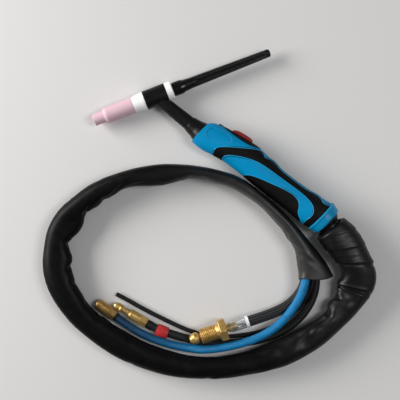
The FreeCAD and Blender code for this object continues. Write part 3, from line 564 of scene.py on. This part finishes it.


# Lighter blue of the beads: a painted highlight on the shell's rims.
highlight_bead_look = moulded("blue_bead_painted_highlight", (0.014, 0.34, 0.62), 0.9, 1.1, (0.26, 0.38), Specular_IOR_Level=0.4)
# Dark line a little further out: painted shade, as of a groove.
groove_shade_look = moulded("groove_shade", (0.001, 0.03, 0.07), 0.8, 1.2, (0.5, 0.6), Specular_IOR_Level=0.1)
for inlay, node in (("stripe", "upper_grip_stripe"), ("palm", "upper_palm_pad")):
    found = rim_lines(node, beside_shell)
    rim_bead(inlay + "_bead", found, 0.00035, 0.00044, highlight_bead_look)
    rim_bead(inlay + "_groove", found, 0.00115, 0.00034, groove_shade_look, 0.75)
rim_bead("label_bead", rim_lines("handle_shell_upper", round_label), -0.0003, 0.00032, highlight_bead_look)

# Routes of the cords: the control points of the source, in metres
SLEEVE_ROUTE = [
    (0.1234, -0.0877, 0.0205), (0.1378, -0.1059, 0.0192), (0.1577, -0.1384, 0.0154), (0.1543, -0.1628, 0.0130),
    (0.1324, -0.1883, 0.0129), (0.1022, -0.2132, 0.0132), (0.0674, -0.2329, 0.0129), (0.0248, -0.2456, 0.0128),
    (-0.0218, -0.2507, 0.0127), (-0.0674, -0.2446, 0.0127), (-0.1111, -0.2278, 0.0124), (-0.1494, -0.2034, 0.0127),
    (-0.1784, -0.1738, 0.0127), (-0.1941, -0.1362, 0.0120), (-0.1936, -0.0991, 0.0120), (-0.1766, -0.0701, 0.0124),
    (-0.1487, -0.0457, 0.0139), (-0.1143, -0.0301, 0.0159), (-0.0768, -0.0238, 0.0150), (-0.0357, -0.0209, 0.0169),
    (-0.0022, -0.0279, 0.0174), (0.0228, -0.0395, 0.0174), (0.0457, -0.0571, 0.0174), (0.0674, -0.0773, 0.0166),
    (0.0868, -0.1018, 0.0156), (0.0992, -0.1262, 0.0144), (0.1050, -0.1453, 0.0143)]
GAS_ROUTE = [
    (0.0936, -0.1309, 0.0208), (0.0947, -0.1416, 0.0206), (0.0924, -0.1544, 0.0199), (0.0864, -0.1702, 0.0178),
    (0.0752, -0.1862, 0.0178), (0.0604, -0.2016, 0.0178), (0.0418, -0.2130, 0.0178), (0.0204, -0.2206, 0.0178),
    (-0.0031, -0.2262, 0.0158), (-0.0250, -0.2290, 0.0119), (-0.0396, -0.2281, 0.0060), (-0.0544, -0.2259, 0.0052),
    (-0.0718, -0.2210, 0.0052), (-0.0908, -0.2136, 0.0056), (-0.1095, -0.2034, 0.0066), GAS_END]
WATER_ROUTE = [
    (0.1058, -0.1297, 0.0076), (0.1072, -0.1410, 0.0072), (0.1080, -0.1537, 0.0062), (0.1052, -0.1677, 0.0049),
    (0.0992, -0.1802, 0.0049), (0.0904, -0.1918, 0.0049), (0.0792, -0.2020, 0.0049), (0.0662, -0.2099, 0.0049),
    (0.0522, -0.2158, 0.0049), (0.0367, -0.2198, 0.0049), (0.0180, -0.2221, 0.0049), (-0.0019, -0.2228, 0.0049),
    (-0.0218, -0.2216, 0.0049), (-0.0410, -0.2178, 0.0049), (-0.0592, -0.2120, 0.0056), (-0.07706, -0.20639, 0.0066),
    WATER_END]
POWER_ROUTE = [
    (0.0936, -0.1310, 0.0092), (0.0951, -0.1414, 0.0090), (0.0946, -0.1524, 0.0083), (0.0893, -0.1638, 0.0065),
    (0.0802, -0.1742, 0.0064), (0.0688, -0.1818, 0.0076), (0.0548, -0.1872, 0.0112), (0.04143, -0.19122, 0.01527),
    POWER_END]
CABLE_ROUTE = [
    (0.1018, -0.1302, 0.0164), (0.1030, -0.1422, 0.0150), (0.1022, -0.1540, 0.0132), (0.0983, -0.1664, 0.0094),
    (0.0898, -0.1786, 0.0050), (0.0800, -0.1896, 0.0032), (0.0682, -0.1986, 0.0026), (0.0544, -0.2056, 0.0026),
    (0.0390, -0.2104, 0.0026), (0.0224, -0.2136, 0.0026), (0.0050, -0.2150, 0.0026), (-0.0126, -0.2147, 0.0026),
    (-0.0294, -0.2116, 0.0026), (-0.0440, -0.2066, 0.0026), (-0.0593, -0.1998, 0.0026), (-0.0769, -0.1912, 0.0026),
    (-0.0956, -0.1816, 0.0026), (-0.1109, -0.1729, 0.0026), (-0.1255, -0.1652, 0.0026)]

# Sleeve: station along it, half width outside and inside the coil, full height, all mm
SLEEVE_SIZES = [
    (0, 19.0, 20.4, 35.0), (8, 21.0, 20.3, 37.0), (16, 21.8, 19.8, 37.4), (24, 22.2, 19.2, 37.0),
    (32, 20.6, 18.8, 36.4), (40, 20.3, 16.8, 35.0), (48, 18.8, 17.4, 33.4), (56, 19.0, 18.6, 32.0),
    (64, 20.0, 21.4, 30.4), (72, 19.3, 23.6, 29.0), (80, 17.4, 24.6, 27.8), (88, 15.6, 23.0, 26.8),
    (94, 14.6, 19.6, 26.2), (100, 14.5, 17.6, 25.8), (105, 14.5, 15.4, 25.6), (111, 14.5, 17.4, 25.4),
    (116, 14.4, 17.9, 25.4), (121, 14.3, 14.0, 25.4), (125, 14.4, 11.2, 25.4), (131, 14.6, 12.0, 25.6),
    (142, 15.2, 13.4, 25.8), (150, 15.7, 14.4, 26.0), (168, 15.6, 15.0, 26.0), (200, 15.6, 15.4, 25.8),
    (216, 14.5, 14.8, 25.6), (240, 13.3, 13.4, 25.4), (268, 12.9, 12.4, 25.2), (284, 12.2, 12.4, 25.0),
    (304, 13.0, 12.6, 25.0), (336, 14.2, 14.2, 25.0), (360, 14.5, 14.8, 25.2), (392, 15.2, 15.6, 25.2),
    (408, 15.2, 14.5, 25.0), (416, 15.1, 14.6, 25.0), (424, 14.8, 15.3, 24.8), (432, 14.8, 13.4, 24.8),
    (440, 15.2, 13.6, 24.8), (456, 15.4, 14.0, 24.8), (468, 15.9, 15.6, 24.4), (486, 17.2, 14.6, 23.8),
    (498, 17.5, 15.6, 23.6), (508, 17.4, 14.4, 23.6), (514, 16.9, 17.2, 23.4), (521, 16.2, 18.6, 23.4),
    (528, 15.2, 16.6, 23.4), (535, 14.6, 13.4, 23.6), (544, 14.8, 12.6, 23.8), (552, 15.2, 15.8, 24.0),
    (560, 15.0, 18.0, 24.2), (570, 15.0, 18.2, 24.4), (578, 14.4, 16.6, 25.2), (583, 13.4, 12.0, 25.8),
    (594, 12.2, 11.6, 27.0), (600, 12.0, 13.2, 27.4), (606, 11.8, 14.6, 27.6), (612, 11.6, 13.0, 28.2),
    (618, 11.3, 11.4, 28.8), (626, 10.9, 12.6, 29.4), (634, 10.4, 12.0, 30.0), (642, 9.9, 10.0, 30.8),
    (653, 9.8, 9.6, 31.0), (664, 10.0, 11.0, 30.6), (680, 10.0, 13.8, 29.8), (688, 10.2, 14.7, 29.4),
    (696, 10.0, 14.4, 29.4), (704, 9.5, 13.0, 29.8), (712, 8.7, 11.4, 30.4), (720, 8.0, 9.7, 31.0),
    (728, 7.5, 7.4, 31.6), (736, 7.0, 8.0, 32.2), (745, 6.8, 6.9, 32.6), (752, 6.8, 7.8, 32.8),
    (760, 6.8, 9.0, 33.0), (768, 7.0, 8.2, 33.2), (778, 7.6, 7.4, 33.4), (792, 7.5, 7.5, 33.6),
    (804, 7.2, 6.7, 33.8), (818, 7.0, 6.3, 33.8), (832, 7.0, 6.6, 33.6), (841, 7.2, 7.5, 33.4),
    (856, 7.6, 7.8, 33.0), (866, 8.2, 8.8, 32.6), (873, 8.8, 9.7, 32.4), (881, 9.4, 8.5, 31.8),
    (888, 10.4, 8.8, 31.2), (896, 12.4, 10.7, 30.4), (904, 14.6, 13.2, 29.6), (912, 17.0, 14.8, 28.8),
    (920, 19.2, 15.8, 28.2), (929, 21.4, 18.6, 28.0)]

# Creases, one by one: station, turn round the sleeve, slant, length, width, depth; mm and radians
CREASES = [
    (81.5, 1.35, -0.22, 17, 2.0, 2.7), (88, 0.15, 0.3, 7, 2.6, 1.8), (104, 0.2, -0.3, 7, 3.0, 2.0),
    (125, 0.2, 0.15, 8, 3.4, 2.2), (157, 1.1, 1.15, 17, 3.8, 0.8), (209, 1.9, 1.35, 24, 4.2, 0.6),
    (262, 1.7, 1.3, 26, 4.6, 0.5), (283, 2.6, 0.5, 10, 4.0, 0.7), (381, 0.6, 0.9, 10, 3.4, 0.5),
    (409, 0.2, -0.4, 6, 2.8, 1.0), (433, 0.2, 0.3, 6, 2.8, 1.2), (455, 0.3, -0.5, 7, 3.0, 0.7),
    (486, 0.2, 0.25, 7, 3.4, 1.2), (508, 0.2, -0.3, 7, 3.2, 1.5), (540, 0.2, 0.1, 8, 3.6, 2.0),
    (588, 0.2, -0.2, 7, 3.6, 2.0), (596, 0.75, 0.9, 12, 3.2, 0.8), (618, 0.3, 0.3, 6, 3.2, 1.3),
    (640, 0.8, 1.25, 20, 3.4, 0.9), (668, 0.75, 1.4, 18, 3.0, 0.8), (727, 0.4, 0.3, 6, 3.2, 0.8),
    (745, 0.5, -0.5, 6, 3.0, 0.7), (768, 1.4, 1.3, 22, 2.4, 0.6), (803, 1.6, -1.3, 24, 2.6, 0.6),
    (842, 1.2, 1.2, 20, 2.6, 0.6), (866, 0.6, -0.7, 9, 2.8, 0.7), (884, 0.5, 0.5, 10, 3.0, 0.9),
    (900, 1.3, 1.0, 16, 3.2, 0.7)]

# Broad swells and hollows: station, turn, reach along, reach around, height; mm and radians
SWELLS = [
    (62, 1.75, 16, 6.0, 0.7), (62, 2.35, 18, 3.2, 0.9), (66, 1.35, 12, 3.0, -0.6), (94.5, 0.95, 7.5, 6.5, -2.3),
    (88, 1.75, 6.0, 4.0, 0.9), (103, 1.45, 6.0, 4.5, 1.2), (117, 1.05, 7.0, 3.5, 1.1), (131, 1.4, 9.0, 3.6, 1.2),
    (138, 0.75, 10.0, 4.2, -1.2), (150, 1.2, 9.0, 4.0, 1.1), (166, 1.55, 8.0, 5.5, -1.1), (184, 1.7, 9.0, 5.0, 1.3),
    (196, 1.25, 7.0, 5.0, -0.9), (208, 0.95, 10.0, 4.5, 0.8), (227, 1.3, 12.0, 6.0, -0.8), (250, 1.6, 14.0, 6.0, 0.5),
    (316, 1.2, 20.0, 6.0, -0.4), (352, 1.8, 20.0, 7.0, 0.4), (455, 1.3, 18.0, 8.0, -0.4), (520, 1.9, 16.0, 8.0, 0.4),
    (566, 1.2, 14.0, 7.0, -0.6), (606, 1.2, 9.0, 5.0, 0.7), (628, 0.8, 9.0, 3.6, 0.8), (655, 1.2, 12.0, 4.0, -0.6),
    (886, 1.0, 12.0, 5.0, -0.6), (905, 1.7, 12.0, 6.0, 0.6)]

AROUND_MM = 14.0  # mm round the sleeve for a radian


def past(angle, start):
    """Angle past a start, from minus half a turn to half a turn."""
    return np.mod(angle - start + math.pi, 2 * math.pi) - math.pi


def groove(s, angle, s0, a0, slant, length, width, depth, bend=0.0):
    """Relief in mm of one fold: a groove with soft shoulders that fades at both ends."""
    ds = (s - s0)[:, None]
    da = past(angle, a0)[None, :] * AROUND_MM
    u = ds * math.sin(slant) + da * math.cos(slant)
    v = ds * math.cos(slant) - da * math.sin(slant) + bend * u * u
    q = (v / width) ** 2
    return -depth * (1 - 0.9 * q) * np.exp(-0.62 * q) * np.exp(-(u / length) ** 2)


def swell(s, angle, s0, a0, along, around, height):
    """Relief in mm of one soft bulge or hollow."""
    ds = (s - s0)[:, None] / along
    da = past(angle, a0)[None, :] * AROUND_MM / around
    return height * np.exp(-ds * ds - da * da)


# Wrapping over the knuckle's tail: its first turn, the width of a turn and its last edge, mm along the sleeve
WRAP_START, WRAP_PITCH, WRAP_END = 7.0, 19.6, 46.4
FULLNESS = 2.25  # power of the section's rounded oval
FLAP_EDGE = math.radians(206)
BLUR = np.exp(-0.5 * (np.arange(-6, 7) / 2.4) ** 2)
BLUR /= BLUR.sum()


def smoothed(values):
    return np.convolve(np.pad(values, len(BLUR) // 2, mode="edge"), BLUR, mode="valid")


def make_sleeve():
    """Rings of the sleeve's outer skin and the line they follow."""
    path = even(line_of(SLEEVE_ROUTE), STEP)
    direction, side, rise = frames(path)
    s = lengths(path) / MM
    stations = np.array(SLEEVE_SIZES)
    stations[:, 0] *= s[-1] / stations[-1, 0]
    outer, inner, height = [np.interp(s, stations[:, 0], stations[:, k]) for k in (1, 2, 3)]
    outer, inner, height = smoothed(outer), smoothed(inner), smoothed(height)
    around = 112
    angle = np.linspace(0.0, 2 * math.pi, around, endpoint=False)
    cos, sin = np.cos(angle), np.sin(angle)
    x = np.sign(cos) * np.abs(cos) ** (2.0 / FULLNESS)
    z = np.sign(sin) * np.abs(sin) ** (2.0 / FULLNESS)
    wide = np.where(cos > 0, inner[:, None], outer[:, None])
    section_x = wide * x
    section_z = height[:, None] / 2 * z

    # Slack of the cover: slow waves, the listed creases and swells, a few soft dents
    relief = np.zeros((len(s), around))
    for _ in range(22):
        wave = rng.uniform(0.03, 0.13)
        lobes = rng.integers(0, 4)
        relief += 0.05 * np.sin(wave * s[:, None] + lobes * angle + rng.uniform(0, 6.3))
    for crease in CREASES:
        relief += groove(s, angle, *crease, bend=0.012 * rng.uniform(-1, 1))
    for bulge in SWELLS:
        relief += swell(s, angle, *bulge)
    for _ in range(34):
        relief += groove(s, angle, rng.uniform(130, s[-1] - 20), rng.uniform(-0.6, 3.7), rng.uniform(-1.5, 1.5),
                         rng.uniform(10, 20), rng.uniform(3.6, 6.0), rng.uniform(0.08, 0.28))

    # First stretch: slanting turns of wrapping over the knuckle's tail, then the wrapping's last edge
    lean = s[:, None] + (9.0 * np.cos(angle) + 0.8 * np.sin(2 * angle))[None, :]
    turns = np.mod((lean - WRAP_START) / WRAP_PITCH, 1.0)
    wrapping = 1.1 * turns ** 1.4 * np.clip((1 - turns) / 0.035, 0, 1)
    wrapping += 0.12 * np.sin(lean * 0.9 + 2.0 * np.sin(angle)) * np.sin(math.pi * turns)
    relief += wrapping * np.clip((WRAP_END - lean) / 0.8, 0, 1) * np.clip((s[:, None] - 1.0) / 3.0, 0, 1)
    rim = lean - WRAP_END
    relief += 0.5 * np.exp(-((rim + 1.4) / 1.6) ** 2) - 0.8 * np.exp(-((rim - 1.6) / 1.4) ** 2)
    ends = np.clip(np.minimum(s - 2.0, s[-1] - 3.0 - s) / 12.0, 0.0, 1.0)[:, None]
    thin = np.clip(np.minimum(outer, inner) / 11.0, 0.35, 1.0)[:, None]
    relief *= (0.35 + 0.65 * ends) * thin

    # Overlap of the closing flap along the outer underside
    over = past(angle, FLAP_EDGE)
    relief += 0.8 * (np.clip(over / 0.06, 0, 1) * np.clip((0.75 - over) / 0.5, 0, 1))[None, :]

    normal_x = x / (wide + 1e-9)
    normal_z = z / (height[:, None] / 2)
    size = np.sqrt(normal_x ** 2 + normal_z ** 2)
    section_x = section_x + relief * normal_x / size
    section_z = section_z + relief * normal_z / size
    low = 0.35 - path[:, 2:3] / MM
    section_z = np.maximum(section_z, low + 0.15 * np.abs(np.sin(angle * 9))[None, :])
    grid = (path[:, None] + side[:, None] * section_x[..., None] * MM
            + rise[:, None] * section_z[..., None] * MM)
    return path, direction, rise, grid, s, angle


path, direction, rise, sleeve_grid, sleeve_s, sleeve_angle = make_sleeve()


def slanted_mouth(grid):
    """The open end, cut on a slant and belled towards its right corner."""
    bell = 34.0
    reach = np.clip((sleeve_s - (sleeve_s[-1] - bell)) / bell, 0.0, 1.0)
    across = np.cos(sleeve_angle)
    push = (-0.0050 * across + 0.0012 * np.cos(3 * sleeve_angle + 0.6))[None, :] * (reach ** 2)[:, None]
    lift = (0.0016 * np.sin(2 * sleeve_angle + 0.5))[None, :] * (reach ** 3)[:, None]
    belled = grid + direction[:, None] * push[..., None] + rise[:, None] * lift[..., None]
    belled[..., 2] = np.maximum(belled[..., 2], 0.0002)
    return belled


sleeve_grid = slanted_mouth(sleeve_grid)


def inward(grid, amount):
    centre = grid.mean(axis=1, keepdims=True)
    offset = grid - centre
    reach = np.linalg.norm(offset, axis=2, keepdims=True)
    return centre + offset * (1 - amount / reach)


def sleeve_piece():
    """Outer skin, rolled lips at both ends and the inner skin as far in as it can be seen."""
    wall = 0.0013
    inner_end = inward(sleeve_grid[-14:], wall)[::-1]
    lip_end = [inward(sleeve_grid[-1:], wall * f)[0] + direction[-1] * wall * h for f, h in
               ((0.15, 0.22), (0.5, 0.34), (0.85, 0.22))]
    floor_end = inward(inner_end[-1:], 0.004)[0]
    first = sleeve_grid[0]
    mouth = first.mean(axis=0)
    shoulder = [mouth + (first - mouth) * f - direction[0] * back * MM for f, back in
                ((0.80, 1.7), (0.85, 1.6), (0.91, 1.2), (0.965, 0.6))]
    inner_start = inward(np.array([*shoulder[1:], *sleeve_grid[:8]]), wall)[::-1]
    lip_start = [inward(shoulder[0][None], wall * f)[0] - direction[0] * wall * h for f, h in
                 ((0.85, 0.22), (0.5, 0.34), (0.15, 0.22))]
    floor_start = inward(inner_start[:1], 0.001)[0]
    rings = [floor_start, *inner_start, *lip_start, *shoulder, *sleeve_grid, *lip_end, *inner_end, floor_end]
    return ring_tube("cable_sleeve_cover", np.array(rings), looks["sleeve"])


sleeve = sleeve_piece()
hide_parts("cable_sleeve")
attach(sleeve, "cable")


def stitches():
    """Run of stitches beside the edge of the flap."""
    vertices, faces = [], []
    stitch = 0.0044
    column = int(round((FLAP_EDGE - math.radians(8)) / (2 * math.pi) * sleeve_grid.shape[1]))
    line = even(sleeve_grid[6:-4, column], stitch)
    centre = even(path[6:-4], stitch)
    count = min(len(line), len(centre))
    line, centre = line[:count], centre[:count]
    step = unit(np.gradient(line, axis=0))
    out = line - centre
    out = unit(out - step * np.sum(out * step, axis=1, keepdims=True))
    across = np.cross(step, out)
    for point, d, o, a in zip(line, step, out, across):
        first = len(vertices)
        for t, r in ((-1.35, 0.05), (-1.1, 0.3), (0.0, 0.36), (1.1, 0.3), (1.35, 0.05)):
            for k in range(8):
                turn = 2 * math.pi * k / 8
                vertices.append(point + (d * t + a * r * math.cos(turn) + o * (r * math.sin(turn) + 0.1)) * MM)
        faces += grid_faces(5, 8, first)
    return piece("sleeve_stitches", vertices, faces, looks["cable"])


stitching = stitches()
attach(stitching, "cable")

# Hoses and cable
gas_hose, gas_path = round_tube("gas_hose_braid", line_of(GAS_ROUTE), 0.00475, looks["gas_hose"])
water_hose, water_path = round_tube("water_hose_rubber", line_of(WATER_ROUTE), 0.00475, looks["water_hose"])
power_hose, power_path = round_tube("power_hose_rubber", line_of(POWER_ROUTE), 0.00615, looks["power_hose"])
cable, cable_path = round_tube("control_cable_jacket", line_of(CABLE_ROUTE), 0.0025, looks["cable"], 32)
for made, node, slot_name in (
        (gas_hose, "gas_hose", "blue_braid"), (water_hose, "water_hose", "black_hose"),
        (power_hose, "power_hose", "black_hose"), (cable, "control_cable", "black_hose")):
    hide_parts(node)
    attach(made, "cable")


def cable_cores():
    """Cut wires that stand a little out of the cable's end."""
    origin, x, y, z = axis_frame(cable_path[-1], cable_path[-1] + (cable_path[-1] - cable_path[-3]))
    vertices, faces = [], []
    for k in range(4):
        centre = (y * math.cos(k * math.pi / 2 + 0.4) + z * math.sin(k * math.pi / 2 + 0.4)) * 1.05
        first = len(vertices)
        for t, r in ((-1.0, 0.62), (0.55, 0.62), (0.7, 0.5), (0.72, 0.02)):
            for j in range(14):
                a = 2 * math.pi * j / 14
                vertices.append(origin + (x * t + centre + (y * math.cos(a) + z * math.sin(a)) * r) * MM)
        faces += grid_faces(4, 14, first)
    return piece("control_cable_cores", vertices, faces, looks["copper"])


cores = cable_cores()
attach(cores, "cable")


def strand_bundle():
    """Twisted strands seen through the clear tube."""
    origin, x, y, z = axis_frame(POWER_END, POWER_TIP)
    vertices, faces = [], []
    for ring, count, radius, pitch in ((3.35, 11, 0.92, 34.0), (1.5, 5, 0.9, -26.0)):
        for k in range(count):
            first = len(vertices)
            stations = np.arange(-12.0, 16.1, 0.8)
            for t in stations:
                a = 2 * math.pi * (k / count + t / pitch)
                pinch = 1.0 - 0.22 * max(0.0, (t - 10.0) / 6.0)
                centre = origin + (x * t + (y * math.cos(a) + z * math.sin(a)) * ring * pinch) * MM
                out = y * math.cos(a) + z * math.sin(a)
                tangent = np.cross(x, out)
                for j in range(10):
                    b = 2 * math.pi * j / 10
                    vertices.append(centre + (out * math.cos(b) + tangent * math.sin(b)) * radius * MM)
            faces += grid_faces(len(stations), 10, first)
    return piece("power_strands", vertices, faces, looks["strand"])


strands = strand_bundle()
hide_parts("power_conductor")
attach(strands, "cable")


def power_nut():
    """Hexagon flange with turned chamfers and a barrel with a cut thread."""
    pitch, root, crest = 2.1, 7.9, 9.0

    def hexed(angle):
        sector = np.mod(angle + math.pi / 6, math.pi / 3) - math.pi / 6
        return 12.0 / np.cos(sector)

    stations = [(28.4, 5.5), (26.2, 5.5), (26.2, 5.9), (26.2, 10.2), (26.35, 11.4), (26.9, 13.05), (27.2, 13.6),
                (27.5, 14.0), (33.7, 14.0), (34.0, 13.6), (34.3, 13.05), (34.9, 11.4), (35.0, 10.6), (35.0, 9.0),
                (35.05, 8.6), (38.6, 8.6), (38.8, 8.1)]
    origin, x, y, z = axis_frame(POWER_END, POWER_TIP)
    around = 144
    angle = np.linspace(0.0, 2 * math.pi, around, endpoint=False)
    rings = []

    def ring(t, r):
        r = np.broadcast_to(r, angle.shape)
        rings.append(origin + x * t * MM + (y * (r * np.cos(angle))[:, None]
                                            + z * (r * np.sin(angle))[:, None]) * MM)

    for t, r in stations:
        ring(t, np.minimum(hexed(angle), r) if r > 10.0 else r)
    for t in np.arange(38.9, 56.9, 0.15):
        phase = np.mod(t / pitch - angle / (2 * math.pi), 1.0)
        tooth = np.clip(1.35 - 2.7 * np.abs(phase - 0.5), 0.0, 1.0)
        fade = np.clip((t - 38.7) / 1.0, 0, 1) * np.clip((57.5 - t) / 1.2, 0.35, 1)
        ring(t, root + (crest - root) * tooth * fade)
    for t, r in ((57.2, 8.0), (57.6, 7.5), (57.6, 4.0), (33.2, 4.0), (33.0, 5.5), (28.4, 5.5)):
        ring(t, r)
    return ring_tube("power_nut_threaded", np.array(rings)[:, ::-1], looks["power_brass"], (False, False))


nut = power_nut()
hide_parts("power_nut")
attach(nut, "power_nut")


def hose_tag():
    """Bare red label wrapped loosely round the water hose, its end lapped over."""
    s = lengths(water_path) / MM
    at = s[-1] - 20.5
    d, sd, rs = frames(water_path)
    angle = np.linspace(0.0, 2 * math.pi, 72, endpoint=False)
    rings = []
    for t, r in ((-7.0, 0.0), (-7.0, 0.42), (-6.8, 0.55), (6.8, 0.55), (7.0, 0.42), (7.0, 0.0)):
        k = int(np.argmin(np.abs(s - (at + t))))
        centre = np.array([np.interp(at + t, s, water_path[:, i]) for i in range(3)])
        over = np.mod(angle - 1.2, 2 * math.pi)
        lap = 0.4 * np.clip(over / 0.06, 0, 1) * np.clip((2.4 - over) / 1.6, 0, 1) if r else 0.0
        wide = (6.4 + r + lap) * np.cos(angle) - 0.5
        high = (4.85 + r + lap) * np.sin(angle)
        rings.append(centre + sd[k] * (wide * MM)[:, None] + rs[k] * (high * MM)[:, None])
    return ring_tube("hose_tag_label", np.array(rings), looks["tag"], (False, False))


tag = hose_tag()
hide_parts("hose_tag")
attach(tag, "cable")


# Floor, window light and fill
def floor_look():
    look = Look("floor", Roughness=0.55, Specular_IOR_Level=0.25)
    tone = look.noise(look.place(), 1.6, 2.0)
    look.colour(look.mix(tone, (0.655, 0.645, 0.635), (0.69, 0.68, 0.67)))
    return look.material


extent = 2.0
floor = piece("floor", [(-extent, -extent, -0.0004), (extent, -extent, -0.0004), (extent, extent, -0.0004),
                        (-extent, extent, -0.0004)], [(0, 1, 2, 3)], floor_look(), smooth=False)


def area_light(name, location, target, size, power, colour):
    data = bpy.data.lights.new(name, "AREA")
    data.shape = "RECTANGLE"
    data.size, data.size_y = size
    data.energy = power
    data.color = colour
    lamp = bpy.data.objects.new(name, data)
    lamp.location = location
    lamp.rotation_euler = (Vector(target) - Vector(location)).to_track_quat("-Z", "Y").to_euler()
    bpy.context.collection.objects.link(lamp)


area_light("window", (-1.60, 0.40, 0.72), (0, -0.05, 0), (1.3, 0.8), 46.0, (1.0, 0.985, 0.97))
area_light("room", (0.85, 0.0, 1.5), (0, -0.05, 0), (0.5, 0.7), 10.0, (0.97, 0.985, 1.0))
world = bpy.data.worlds.new("world")
world.use_nodes = True
world.node_tree.nodes["Background"].inputs["Color"].default_value = (0.96, 0.98, 1.0, 1.0)
world.node_tree.nodes["Background"].inputs["Strength"].default_value = 0.17
bpy.context.scene.world = world
bpy.context.scene.view_settings.view_transform = "Standard"
